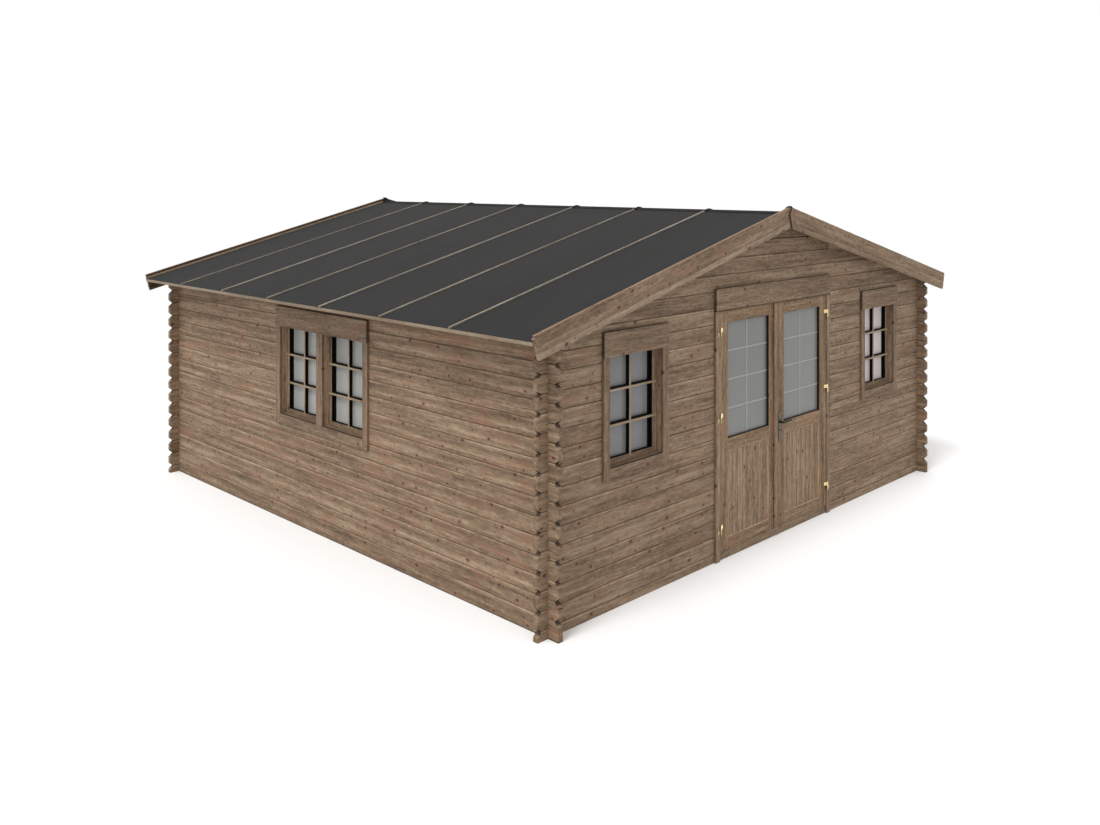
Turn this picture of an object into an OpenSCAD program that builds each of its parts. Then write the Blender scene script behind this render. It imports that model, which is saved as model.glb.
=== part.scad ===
// Log cabin: interlocking notched logs, a shallow felt roof, double doors and three barred windows.
// Millimetres, +Z up. The origin is on the ground at the middle of the footprint,
// +X is to the right seen from the front, and +Y is towards the back.

/* [Logs] */
// Height of one log course
log_h = 135; // [120:1:150]
// Thickness of a log
log_t = 44; // [36:1:60]
// Play between neighbouring logs
log_gap = 0.4; // [0.2:0.1:1]
// Bevel along the edges of a log
log_bevel = 6; // [2:0.5:9]
// Width of the tongue on top of a log
tongue_w = 16; // [10:1:18]
// Height of the tongue on top of a log
tongue_h = 9; // [5:1:14]
// Length of the crossed log ends beyond the walls
stub = 100; // [60:1:130]
// Length of the bevel on a log end
end_bevel_l = 38; // [15:1:45]
// Height of the bevel on a log end
end_bevel_h = 34; // [12:1:40]

/* [Cabin] */
// Width over the side walls
cabin_w = 5700; // [5000:10:7000]
// Depth over the gable walls
cabin_d = 5700; // [4500:10:7000]
// Height of a side wall's outer face
wall_top = 2140; // [2125:1:2220]

/* [Roof] */
// Slope of the roof in degrees
pitch = 14.05; // [10:0.05:20]
// Eave overhang past the side walls
eave_out = 283; // [200:1:400]
// Roof overhang past the gable walls, up to the bargeboards
gable_out = 138; // [115:1:300]
// Thickness of the roof boards
deck_t = 19; // [15:1:28]
// Thickness of the roofing felt
felt_t = 3; // [2:0.5:5]
// Number of felt battens on a slope
batten_count = 6; // [4:1:8]
// Width of a felt batten
batten_w = 17; // [12:1:40]
// Height of a felt batten
batten_h = 10; // [6:1:25]
// Thickness of the eave lath
eave_lath_t = 20; // [12:1:30]
// Depth of the eave lath
eave_lath_h = 28; // [22:1:60]
// Thickness of a bargeboard
barge_t = 26; // [16:1:35]
// Width of a bargeboard
barge_w = 175; // [140:1:240]
// Height of a bargeboard's top edge over the felt
barge_rise = 40; // [10:1:60]
// Width of the cover plate at the gable's peak
apex_w = 76; // [50:1:120]
// Height of the cover plate at the gable's peak
apex_h = 190; // [140:1:260]
// Distance of the cover plate's widest point below its tip
apex_shoulder = 68; // [50:1:90]
// Thickness of the cover plate at the gable's peak
apex_t = 16; // [10:1:25]
// Number of purlins on a slope, beside the one at the ridge
purlin_count = 2; // [1:1:2]
// Thickness of a purlin
purlin_t = 44; // [36:1:70]
// Depth of a purlin
purlin_h = 112; // [90:1:115]
// Spacing of the purlins from the ridge outwards
purlin_pitch = 950; // [700:10:1150]

/* [Floor] */
// Thickness of the floor boards
floor_t = 20; // [16:1:24]
// Width and height of a floor bearer
bearer = 44; // [36:1:46]
// Number of floor bearers
bearer_count = 9; // [6:1:12]

/* [Doors] */
// Width between the door jambs
door_clear_w = 1722; // [1500:2:1900]
// Log courses beside the doorway
door_rows = 15; // [14:1:15]
// Thickness of a door jamb
jamb_t = 40; // [30:1:55]
// Height of the piece over the doors
door_head_h = 22; // [18:1:45]
// Depth of the door frame
door_frame_d = 90; // [75:1:120]
// Reach of the stop behind the doors
door_stop = 12; // [8:1:20]
// Thickness of a door leaf
leaf_t = 40; // [34:1:45]
// Gap around a door leaf
leaf_gap = 5; // [5:0.5:8]
// Gap between the two leaves
meeting_gap = 7; // [7:0.5:12]
// Height of the leaves' lower edge over the threshold log
leaf_lift = 8; // [6:0.5:15]
// Width of a leaf's stiles
stile_w = 116; // [90:1:140]
// Height of a leaf's top rail
top_rail_h = 98; // [80:1:140]
// Height of a leaf's bottom rail
bottom_rail_h = 92; // [70:1:160]
// Height of the lower edge of the lock rail over the ground
lock_rail_z = 895; // [800:5:1000]
// Height of a leaf's lock rail
lock_rail_h = 103; // [80:1:140]
// Thickness of a leaf's lower panel
leaf_panel_t = 16; // [10:1:20]
// Setback of the panel behind the leaf's front face
panel_setback = 10; // [4:1:16]
// Setback of the glass behind the leaf's front face
door_glass_setback = 26; // [15:1:28]
// Setback of the leaves behind the front of the trim
leaf_setback = 6; // [2:0.5:12]
// Width of the cover strip on the meeting stile
strip_w = 48; // [30:1:60]
// Thickness of the cover strip on the meeting stile
strip_t = 10; // [6:1:14]
// Width of the trim beside the doors
door_trim_w = 56; // [50:1:90]

/* [Windows] */
// Width of a front window's opening in the logs
front_window_w = 700; // [600:5:800]
// Distance of a front window's middle from the cabin's middle
front_window_x = 1920; // [1750:5:2050]
// Width of the side window's opening in the logs
side_window_w = 1412; // [1200:4:1600]
// Width of the post between the side window's two sashes
mullion_w = 84; // [60:1:90]
// Width of the trim board on that post
mullion_trim_w = 96; // [90:1:130]
// Log courses below the windows
window_sill_row = 7; // [6:1:7]
// Log courses beside a window
window_rows = 7; // [6:1:7]
// Width of the window frame's pieces
frame_w = 36; // [28:1:50]
// Depth of the window frame
frame_d = 98; // [90:1:120]
// Setback of the sash behind the wall's outer face
sash_setback = 54; // [20:1:56]
// Width of the sash's pieces
sash_w = 48; // [36:1:60]
// Height of the bottom rail of a sash
sash_rail_h = 39; // [30:1:60]
// Thickness of the sash
sash_t = 40; // [34:1:44]
// Gap around a sash
sash_gap = 1; // [0.5:0.25:3]
// Width of the window trim
window_trim_w = 67; // [55:1:90]
// Lap of the side trim over the window opening
window_trim_lap = 40; // [20:1:45]
// Lap of the lower trim over the window opening
sill_trim_lap = 34; // [15:1:40]
// Height of the lower trim
sill_trim_h = 86; // [60:1:120]
// Thickness of the glass
glass_t = 4; // [3:1:8]

/* [Trim] */
// Thickness of the trim boards
trim_t = 20; // [14:1:26]
// Height of the header board over a door or window
header_h = 186; // [140:1:200]
// Thickness of a header board
header_t = 28; // [20:1:35]
// Lap of a window's header over its opening
header_lap = 97; // [60:1:110]
// Clearance where one piece is seated in another
fit_gap = 0.3; // [0.1:0.1:0.5]

/* [Hinges] */
// Radius of a hinge barrel
barrel_r = 7; // [6:0.5:9]
// Height of each half of a hinge barrel
barrel_h = 36; // [25:1:50]
// Radius of the ball on each end of a hinge
barrel_ball_r = 5; // [4:0.25:5.5]
// Radius of a hinge pin
pin_r = 4; // [3:0.25:4.5]
// Clearance round a hinge pin
pin_clear = 0.1; // [0.05:0.05:0.3]
// Clearance over a hinge pin's end
pin_end_clear = 2; // [1:0.5:4]
// Thickness of the cap over a hinge pin
barrel_cap = 5; // [3:0.5:8]
// Gap between the halves of a hinge
barrel_gap = 1; // [0.5:0.25:2]
// Distance of a hinge barrel from the trim
barrel_off = 2; // [1:0.5:4]
// Length of a hinge plate
plate_l = 40; // [30:1:55]
// Thickness of a hinge plate
plate_t = 3; // [2:0.5:5]
// Inset of a hinge plate from the ends of its barrel
plate_inset = 2; // [0.5:0.5:5]
// Height of the lower hinges over the ground
hinge_low_z = 262; // [220:1:400]
// Height of the middle hinges over the ground
hinge_mid_z = 1185; // [900:1:1400]
// Height of the upper hinges over the ground
hinge_high_z = 1895; // [1600:1:1930]

/* [Handle] */
// Distance of the handle from the meeting line
handle_x = 50; // [40:1:75]
// Height of the lever over the ground
handle_z = 1003; // [950:1:1060]
// Width of the handle plate
handle_plate_w = 44; // [36:1:60]
// Length of the handle plate
handle_plate_h = 256; // [200:2:300]
// Thickness of the handle plate
handle_plate_t = 5; // [3:0.5:8]
// Distance of the lever from the top of its plate
handle_drop = 86; // [60:1:110]
// Length of the lever
lever_l = 125; // [90:1:150]
// Radius of the lever
lever_r = 8; // [6:0.5:10]
// Distance of the lever from its plate
lever_out = 42; // [34:1:60]
// Clearance round the lever's spindle
spindle_clear = 0.5; // [0.3:0.1:1]

/* [Hidden] */
// Reach of cuts that go right through
far = 20000;
// Overlap of the blocks that make up one solid
weld = 1;
half_w = cabin_w / 2;
half_d = cabin_d / 2;

// Depth of a corner notch: crossing courses are half a log apart
lap = log_h / 4;
half_course = log_h / 2;
// Least height of the top log of a wall
top_log_min = 40;
slope = tan(pitch);
ridge_z = wall_top + half_w * slope;
side_courses = floor((wall_top - top_log_min) / log_h);
gable_courses = floor((ridge_z - top_log_min - half_course) / log_h);

// Roof layers: z stands off the underside of the boards, at right angles to the slope
roof_y = half_d + gable_out;
slope_l = (half_w + eave_out) / cos(pitch);
felt_z = deck_t + fit_gap;
batten_z = felt_z + felt_t + fit_gap;
batten_pitch = 2 * roof_y / (batten_count + 1);
barge_top = felt_z + felt_t + barge_rise;
barge_low = barge_top - barge_w;
barge_end = slope_l - barge_top * slope;
apex_z = ridge_z + barge_top / cos(pitch);

floor_x = half_w - log_t - fit_gap;
floor_y = half_d - log_t - fit_gap;

door_top = half_course + door_rows * log_h;
door_open_w = door_clear_w + 2 * jamb_t + 2 * fit_gap;
door_head_z = door_top - fit_gap - door_head_h;
leaf_front = leaf_setback - trim_t;
leaf_back = leaf_front + leaf_t;
leaf_outer = door_clear_w / 2 - leaf_gap;
leaf_inner = meeting_gap / 2;
leaf_z0 = half_course + leaf_lift;
leaf_z1 = door_head_z - leaf_gap;
stop_y = leaf_back + leaf_gap;
door_trim_x = door_clear_w / 2 + fit_gap;
hinge_x = leaf_outer;
hinge_y = -trim_t - barrel_off - barrel_r;
hinge_z = [hinge_low_z, hinge_mid_z, hinge_high_z];

sill_z_front = half_course + window_sill_row * log_h;
sill_z_side = window_sill_row * log_h;
window_h = window_rows * log_h;
front_field = front_window_w / 2 - fit_gap - frame_w;
side_field = side_window_w / 2 - fit_gap - frame_w;

wood_log = [0.50, 0.43, 0.36];
wood_trim = [0.55, 0.47, 0.40];
wood_inner = [0.66, 0.55, 0.42];
felt_black = [0.20, 0.20, 0.20];
glass_grey = [0.55, 0.57, 0.58, 0.6];
brass = [0.85, 0.72, 0.40];
dark_metal = [0.25, 0.25, 0.26];

// Places a wall or a piece of it: drawn facing -Y with its outer face at y = 0.
module on_front() translate([0, -half_d, 0]) children();
module on_back() rotate([0, 0, 180]) translate([0, -half_d, 0]) children();
module on_left() translate([-half_w, 0, 0]) rotate([0, 0, -90]) children();
module on_right() translate([half_w, 0, 0]) rotate([0, 0, 90]) children();
module both_sides() {
    children();
    mirror([1, 0, 0]) children();
}

// A box between two corners.
module block(low, high) translate(low) cube(high - low);

// Extrudes an outline drawn in x and z along y, from y0 to y1.
module along_y(y0, y1) translate([0, y1, 0]) rotate([90, 0, 0]) linear_extrude(y1 - y0) children();

// Cross-section of a log between two course lines: bevelled edges, groove below and tongue above.
module log_section(c0, c1, ground, top) {
    low = c0 + log_gap;
    mid = log_t / 2;
    groove = tongue_w / 2 + log_gap;
    groove_top = low + tongue_h + log_gap;
    foot = ground ? [[0, c0], [log_t, c0]] : [
        [0, low + log_bevel], [log_bevel, low],
        [mid - groove, low], [mid - groove, groove_top], [mid + groove, groove_top], [mid + groove, low],
        [log_t - log_bevel, low], [log_t, low + log_bevel]
    ];
    head = top ? [[log_t, c1], [0, c1]] : [
        [log_t, c1 - log_bevel], [log_t - log_bevel, c1],
        [mid + tongue_w / 2, c1], [mid + tongue_w / 2, c1 + tongue_h],
        [mid - tongue_w / 2, c1 + tongue_h], [mid - tongue_w / 2, c1],
        [log_bevel, c1], [0, c1 - log_bevel]
    ];
    polygon(concat(foot, head));
}

// Side view of a log: half-lap notches where the crossing walls pass, bevelled ends.
module log_elevation(length, c0, c1, ground, top, half) {
    end = length / 2 + stub;
    n0 = length / 2 - log_t - log_gap;
    n1 = length / 2 + log_gap;
    z1 = top ? c1 : c1 + tongue_h;
    run = end_bevel_l * (end_bevel_h + z1 - c1) / end_bevel_h;
    low_lap = c0 + lap + log_gap;
    high_lap = c0 + (half ? half_course : log_h) - lap;
    low_notch = half ? [] : [[n0, c0], [n0, low_lap], [n1, low_lap], [n1, c0]];
    low_end = ground ? [[end, c0]] : [[end - end_bevel_l, c0], [end, c0 + end_bevel_h]];
    high_end = top ? [[end, c1]] : [[end, c1 - end_bevel_h], [end - run, z1]];
    high_notch = [[n1, z1], [n1, high_lap], [n0, high_lap], [n0, z1]];
    right = concat(low_notch, low_end, high_end, high_notch);
    left = [for (i = [len(right) - 1 : -1 : 0]) [-right[i][0], right[i][1]]];
    polygon(concat(right, left));
}

// One log from end to end, facing -Y.
module log_bar(length, c0, c1, ground = false, top = false, half = false) {
    end = length / 2 + stub;
    intersection() {
        rotate([90, 0, 90]) translate([0, 0, -end]) linear_extrude(2 * end)
            log_section(c0, c1, ground, top);
        along_y(0, log_t) log_elevation(length, c0, c1, ground, top, half);
    }
}

// Everything above the underside of the roof boards.
module above_roof(drop = 0) {
    z0 = ridge_z - drop;
    rotate([90, 0, 0]) linear_extrude(far, center = true)
        polygon([[0, z0], [far, z0 - far * slope], [far, far], [-far, far], [-far, z0 - far * slope]]);
}

// Full courses of a gable wall, from the first to the last given row.
module gable_rows(first, last) {
    for (row = [first : last])
        log_bar(cabin_w, half_course + row * log_h, half_course + (row + 1) * log_h);
}

// The lowest log of a gable wall is half a log high, so that the corners interlock.
module gable_bottom_log() log_bar(cabin_w, 0, half_course, ground = true, half = true);

// Courses of a gable wall that are cut to the roof's slope.
module gable_top(first) difference() {
    union() {
        gable_rows(first, gable_courses - 1);
        log_bar(cabin_w, half_course + gable_courses * log_h, ridge_z + log_h, top = true);
    }
    above_roof(fit_gap);
    for (i = [-purlin_count : purlin_count]) purlin_slot(i * purlin_pitch);
}

// A side wall, with its top log cut to the roof's slope.
module side_wall() difference() {
    union() {
        log_bar(cabin_d, 0, log_h, ground = true);
        for (row = [1 : side_courses - 1]) log_bar(cabin_d, row * log_h, (row + 1) * log_h);
        log_bar(cabin_d, side_courses * log_h, wall_top + log_h, top = true);
    }
    translate([0, half_w, 0]) rotate([0, 0, 90]) above_roof(fit_gap);
}

module window_hole(width, z) block([-width / 2, -far, z], [width / 2, far, z + window_h]);

// The front's lowest log has its tongue planed off in the doorway.
module front_bottom_log() color(wood_log) on_front() difference() {
    gable_bottom_log();
    block([-door_open_w / 2, -far, half_course], [door_open_w / 2, far, far]);
}
module front_wall_left() color(wood_log) on_front() difference() {
    gable_rows(0, door_rows - 1);
    block([-door_open_w / 2, -far, -far], [far, far, far]);
    translate([-front_window_x, 0, 0]) window_hole(front_window_w, sill_z_front);
}
module front_wall_right() mirror([1, 0, 0]) front_wall_left();
module front_gable() color(wood_log) on_front() gable_top(door_rows);
module back_wall() color(wood_log) on_back() {
    gable_bottom_log();
    gable_rows(0, door_rows - 1);
}
module back_gable() color(wood_log) on_back() gable_top(door_rows);
module left_wall() color(wood_log) on_left() difference() {
    side_wall();
    window_hole(side_window_w, sill_z_side);
}
module right_wall() color(wood_log) on_right() side_wall();

// Height of the underside of the roof boards at a distance from the middle.
function under_roof(x) = ridge_z - abs(x) * slope;

// Outline of a purlin in x and z: its top is cut to the slope of the roof.
module purlin_outline(x, play) {
    a = x - purlin_t / 2 - play;
    b = x + purlin_t / 2 + play;
    low = under_roof(x) - purlin_h - play;
    top = play > 0 ? far : -fit_gap;
    peak = (a < 0 && b > 0) ? [[0, ridge_z + top]] : [];
    polygon(concat([[a, low], [b, low], [b, under_roof(b) + top]], peak, [[a, under_roof(a) + top]]));
}
module purlin_slot(x) along_y(-far, far) purlin_outline(x, fit_gap);
module purlin(x) along_y(-roof_y + fit_gap, roof_y - fit_gap) purlin_outline(x, 0);

module ridge_purlin() color(wood_inner) purlin(0);
module side_purlins() color(wood_inner) for (i = [1 : purlin_count]) both_sides() purlin(i * purlin_pitch);

// Moves to the right-hand slope: x runs down the slope from the ridge, z stands off the boards' underside.
module on_slope() translate([0, 0, ridge_z]) rotate([0, pitch, 0]) children();

// A flat layer of the right-hand slope between two heights and down to a length, mitred at the ridge.
module slope_layer(z0, z1, down, y0, y1) on_slope() along_y(y0, y1)
    polygon([
        [-z0 * slope + fit_gap, z0], [down, z0],
        [down, z1], [-z1 * slope + fit_gap, z1]
    ]);

module right_roof_boards() color(wood_inner)
    slope_layer(0, deck_t, slope_l - eave_lath_t - fit_gap, -roof_y + fit_gap, roof_y - fit_gap);
module left_roof_boards() mirror([1, 0, 0]) right_roof_boards();

module right_felt() color(felt_black)
    slope_layer(felt_z, felt_z + felt_t, slope_l, -roof_y + fit_gap, roof_y - fit_gap);
module left_felt() mirror([1, 0, 0]) right_felt();

module right_felt_battens() color(wood_trim) for (i = [1 : batten_count]) {
    y = -roof_y + i * batten_pitch;
    slope_layer(batten_z, batten_z + batten_h, slope_l, y - batten_w / 2, y + batten_w / 2);
}
module left_felt_battens() mirror([1, 0, 0]) right_felt_battens();

module eave_laths() color(wood_trim) both_sides() on_slope() block(
    [slope_l - eave_lath_t, -roof_y + fit_gap, deck_t - eave_lath_h],
    [slope_l, roof_y - fit_gap, deck_t]
);

// A pair of bargeboards on the front: plumb cut where they meet, square cut at the eaves.
module bargeboard_pair() both_sides()
    slope_layer(barge_low, barge_top, barge_end, -roof_y - barge_t, -roof_y);
module front_bargeboards() color(wood_trim) bargeboard_pair();
module back_bargeboards() color(wood_trim) rotate([0, 0, 180]) bargeboard_pair();

// Kite-shaped plates over the joint of the bargeboards.
module apex_plate() along_y(-roof_y - barge_t - fit_gap - apex_t, -roof_y - barge_t - fit_gap)
    polygon([
        [0, apex_z], [apex_w / 2, apex_z - apex_shoulder],
        [0, apex_z - apex_h], [-apex_w / 2, apex_z - apex_shoulder]
    ]);
module apex_plates() color(wood_trim) {
    apex_plate();
    rotate([0, 0, 180]) apex_plate();
}

module floor_bearers() color(wood_inner) for (i = [0 : bearer_count - 1]) {
    y = -floor_y + bearer / 2 + i * (2 * floor_y - bearer) / (bearer_count - 1);
    block([-floor_x, y - bearer / 2, 0], [floor_x, y + bearer / 2, bearer]);
}
module floor_boards() color(wood_inner)
    block([-floor_x, -floor_y, bearer], [floor_x, floor_y, bearer + floor_t]);

// Door frame, drawn in the front wall: jambs and head with a stop behind the leaves.
module jamb() {
    a = door_clear_w / 2;
    z0 = half_course + fit_gap;
    z1 = door_top - fit_gap;
    block([a, 0, z0], [a + jamb_t, door_frame_d, z1]);
    block([a - door_stop, stop_y, z0], [a + weld, door_frame_d, z1]);
}
module door_jambs() color(wood_trim) on_front() both_sides() jamb();
module door_head() color(wood_trim) on_front() {
    a = door_clear_w / 2 - door_stop - fit_gap;
    block([-a, stop_y, door_head_z - door_stop], [a, door_frame_d, door_top - fit_gap]);
    b = door_clear_w / 2 - fit_gap;
    block([-b, 0, door_head_z], [b, stop_y - fit_gap, door_top - fit_gap]);
}
module door_threshold() color(wood_trim) on_front() {
    a = door_clear_w / 2 - door_stop - fit_gap;
    block([-a, stop_y, half_course + fit_gap], [a, door_frame_d, half_course + door_stop + leaf_lift]);
}
module door_trim() color(wood_trim) on_front() {
    b = door_trim_x + door_trim_w;
    header_z = door_head_z;
    both_sides() block([door_trim_x, -trim_t - fit_gap, 0], [b, -fit_gap, header_z - fit_gap]);
    block([-b, -header_t - fit_gap, header_z], [b, -fit_gap, header_z + header_h]);
}

// The pieces of a leaf's frame, for the right-hand leaf.
module leaf_frame() {
    x0 = leaf_inner;
    x1 = leaf_outer;
    rails = [
        [leaf_z0, leaf_z0 + bottom_rail_h],
        [lock_rail_z, lock_rail_z + lock_rail_h],
        [leaf_z1 - top_rail_h, leaf_z1]
    ];
    for (x = [x0, x1 - stile_w]) block([x, leaf_front, leaf_z0], [x + stile_w, leaf_back, leaf_z1]);
    for (z = rails)
        block([x0 + stile_w + fit_gap, leaf_front, z[0]], [x1 - stile_w - fit_gap, leaf_back, z[1]]);
}
module leaf_panel() {
    y = leaf_front + panel_setback;
    block(
        [leaf_inner + stile_w + fit_gap, y, leaf_z0 + bottom_rail_h + fit_gap],
        [leaf_outer - stile_w - fit_gap, y + leaf_panel_t, lock_rail_z - fit_gap]
    );
}
module leaf_glass() {
    y = leaf_front + door_glass_setback;
    block(
        [leaf_inner + stile_w + fit_gap, y, lock_rail_z + lock_rail_h + fit_gap],
        [leaf_outer - stile_w - fit_gap, y + glass_t, leaf_z1 - top_rail_h - fit_gap]
    );
}
module cover_strip() block(
    [leaf_inner, leaf_front - fit_gap - strip_t, leaf_z0],
    [leaf_inner + strip_w, leaf_front - fit_gap, leaf_z1]
);

// Half of a hinge's barrel, standing on z = 0, with a ball on its end.
module barrel() {
    cylinder(r = barrel_r, h = barrel_h, $fn = 48);
    translate([0, 0, barrel_h]) sphere(r = barrel_ball_r, $fn = 32);
}
// The leaf's half of a hinge: a capped knuckle over the pin, on a cranked plate.
module leaf_hinge(z) translate([hinge_x, hinge_y, z + barrel_gap / 2]) {
    seat = leaf_front - fit_gap - hinge_y;
    difference() {
        union() {
            barrel();
            block([-barrel_r - plate_t, 0, plate_inset], [0, seat, barrel_h - plate_inset]);
            block([-plate_l, seat - plate_t, plate_inset], [0, seat, barrel_h - plate_inset]);
        }
        translate([0, 0, -weld])
            cylinder(r = pin_r + pin_clear, h = weld + barrel_h - barrel_cap, $fn = 48);
    }
}
// The frame's half of a hinge: a lower barrel with its pin, on a plate fixed to the trim.
module frame_hinge(z) translate([hinge_x, hinge_y, z - barrel_gap / 2]) {
    seat = -trim_t - 2 * fit_gap - hinge_y;
    mirror([0, 0, 1]) barrel();
    translate([0, 0, -weld])
        cylinder(r = pin_r, h = weld + barrel_gap + barrel_h - barrel_cap - pin_end_clear, $fn = 48);
    block([0, seat - plate_t, plate_inset - barrel_h], [plate_l, seat, -plate_inset]);
}
module hinge_pins() color(brass) on_front() both_sides() for (z = hinge_z) frame_hinge(z);

module right_leaf_hinges() color(brass) on_front() for (z = hinge_z) leaf_hinge(z);
module left_leaf_hinges() mirror([1, 0, 0]) right_leaf_hinges();

// A bore for the lever's spindle.
module spindle_bore() translate([handle_x, -far / 2, handle_z]) rotate([-90, 0, 0])
    cylinder(r = lever_r + spindle_clear, h = far, $fn = 48);

module left_leaf_frame() color(wood_trim) on_front() mirror([1, 0, 0]) {
    leaf_frame();
    cover_strip();
}
module right_leaf_frame() color(wood_trim) on_front() difference() {
    leaf_frame();
    spindle_bore();
}
module right_leaf_panel() color(wood_trim) on_front() leaf_panel();
module left_leaf_panel() mirror([1, 0, 0]) right_leaf_panel();
module right_leaf_glass() color(glass_grey) on_front() leaf_glass();
module left_leaf_glass() mirror([1, 0, 0]) right_leaf_glass();

// Long plates of the handle, outside and inside.
module handle_plates() color(dark_metal) on_front() difference() {
    for (y = [leaf_front - fit_gap - handle_plate_t, leaf_back + fit_gap])
        block(
            [handle_x - handle_plate_w / 2, y, handle_z + handle_drop - handle_plate_h],
            [handle_x + handle_plate_w / 2, y + handle_plate_t, handle_z + handle_drop]
        );
    spindle_bore();
}
// Both levers on their common spindle.
module door_lever() color(dark_metal) on_front() translate([handle_x, 0, handle_z]) {
    y0 = leaf_front - lever_out;
    y1 = leaf_back + lever_out;
    translate([0, y0, 0]) rotate([-90, 0, 0]) cylinder(r = lever_r, h = y1 - y0, $fn = 48);
    for (y = [y0, y1]) translate([0, y, 0]) {
        sphere(r = lever_r, $fn = 32);
        rotate([0, 90, 0]) cylinder(r = lever_r, h = lever_l, $fn = 48);
        translate([lever_l, 0, 0]) sphere(r = lever_r, $fn = 32);
    }
}

// A rectangular frame of four pieces that fills a field in x and z. Its lower piece has its own height.
module four_piece_frame(x0, x1, z0, z1, w, low, y0, y1) {
    for (x = [x0, x1 - w]) block([x, y0, z0], [x + w, y1, z1]);
    for (z = [[z0, z0 + low], [z1 - w, z1]])
        block([x0 + w + fit_gap, y0, z[0]], [x1 - w - fit_gap, y1, z[1]]);
}

// A window drawn in its wall, round the middle of its opening.
module window_frame(width, z) four_piece_frame(
    -width / 2 + fit_gap, width / 2 - fit_gap, z + fit_gap, z + window_h - fit_gap,
    frame_w, frame_w, 0, frame_d
);
// Lower and upper edges of a sash, and of the gap between the sill trim and the header.
function sash_z0(z) = z + fit_gap + frame_w + sash_gap / 2;
function sash_z1(z) = z + window_h - fit_gap - frame_w - sash_gap / 2;
function trim_z0(z) = z + sill_trim_lap;
function trim_z1(z) = z + window_h - header_lap;
// A sash that fills a field of the frame, and its glass.
module sash(x0, x1, z) four_piece_frame(
    x0 + sash_gap / 2, x1 - sash_gap / 2, sash_z0(z), sash_z1(z),
    sash_w, sash_rail_h, sash_setback, sash_setback + sash_t
);
module sash_glass(x0, x1, z) {
    edge = sash_w + fit_gap;
    y = sash_setback + sash_t - 2 * glass_t;
    block(
        [x0 + sash_gap / 2 + edge, y, sash_z0(z) + sash_rail_h + fit_gap],
        [x1 - sash_gap / 2 - edge, y + glass_t, sash_z1(z) - edge]
    );
}
module window_trim(width, z) {
    a = width / 2 - window_trim_lap;
    b = a + window_trim_w;
    low = trim_z0(z) - sill_trim_h;
    both_sides() block([a, -trim_t - fit_gap, low], [b, -fit_gap, trim_z1(z) - fit_gap]);
    block([-a + fit_gap, -trim_t - fit_gap, low], [a - fit_gap, -fit_gap, trim_z0(z)]);
    block([-b, -header_t - fit_gap, trim_z1(z)], [b, -fit_gap, trim_z1(z) + header_h]);
}

// A front window has one sash.
module front_frame() color(wood_trim) window_frame(front_window_w, sill_z_front);
module front_sash() color(wood_trim) sash(-front_field, front_field, sill_z_front);
module front_glass() color(glass_grey) sash_glass(-front_field, front_field, sill_z_front);
module front_trim() color(wood_trim) window_trim(front_window_w, sill_z_front);
module in_front_left() on_front() translate([-front_window_x, 0, 0]) children();
module in_front_right() on_front() translate([front_window_x, 0, 0]) children();
module front_left_window_frame() in_front_left() front_frame();
module front_left_window_sash() in_front_left() front_sash();
module front_left_window_glass() in_front_left() front_glass();
module front_left_window_trim() in_front_left() front_trim();
module front_right_window_frame() in_front_right() front_frame();
module front_right_window_sash() in_front_right() front_sash();
module front_right_window_glass() in_front_right() front_glass();
module front_right_window_trim() in_front_right() front_trim();

// The side window has two sashes, one on each side of a post.
module side_window_frame() color(wood_trim) on_left() {
    edge = 2 * fit_gap + frame_w;
    window_frame(side_window_w, sill_z_side);
    block([-mullion_w / 2, 0, sill_z_side + edge], [mullion_w / 2, frame_d, sill_z_side + window_h - edge]);
}
module side_window_sashes() color(wood_trim) on_left() both_sides()
    sash(mullion_w / 2, side_field, sill_z_side);
module side_window_glass() color(glass_grey) on_left() both_sides()
    sash_glass(mullion_w / 2, side_field, sill_z_side);
module side_window_trim() color(wood_trim) on_left() {
    a = mullion_trim_w / 2;
    low = trim_z0(sill_z_side) + fit_gap;
    window_trim(side_window_w, sill_z_side);
    block([-a, -trim_t - fit_gap, low], [a, -fit_gap, trim_z1(sill_z_side) - fit_gap]);
}

front_bottom_log();
front_wall_left();
front_wall_right();
front_gable();
back_wall();
back_gable();
left_wall();
right_wall();
ridge_purlin();
side_purlins();
left_roof_boards();
right_roof_boards();
left_felt();
right_felt();
left_felt_battens();
right_felt_battens();
eave_laths();
front_bargeboards();
back_bargeboards();
apex_plates();
floor_bearers();
floor_boards();
door_jambs();
door_head();
door_threshold();
door_trim();
hinge_pins();
left_leaf_frame();
left_leaf_panel();
left_leaf_glass();
left_leaf_hinges();
right_leaf_frame();
right_leaf_panel();
right_leaf_glass();
right_leaf_hinges();
handle_plates();
door_lever();
front_left_window_frame();
front_left_window_sash();
front_left_window_glass();
front_left_window_trim();
front_right_window_frame();
front_right_window_sash();
front_right_window_glass();
front_right_window_trim();
side_window_frame();
side_window_sashes();
side_window_glass();
side_window_trim();
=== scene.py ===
"""Log cabin: finishes for every surface, and the bars, boards, black painted shade and fixings left out of
the solids.
"""

import logging
import math
from dataclasses import dataclass, field
from enum import Enum
from typing import Callable, NamedTuple, Optional, Sequence, Union

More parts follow.
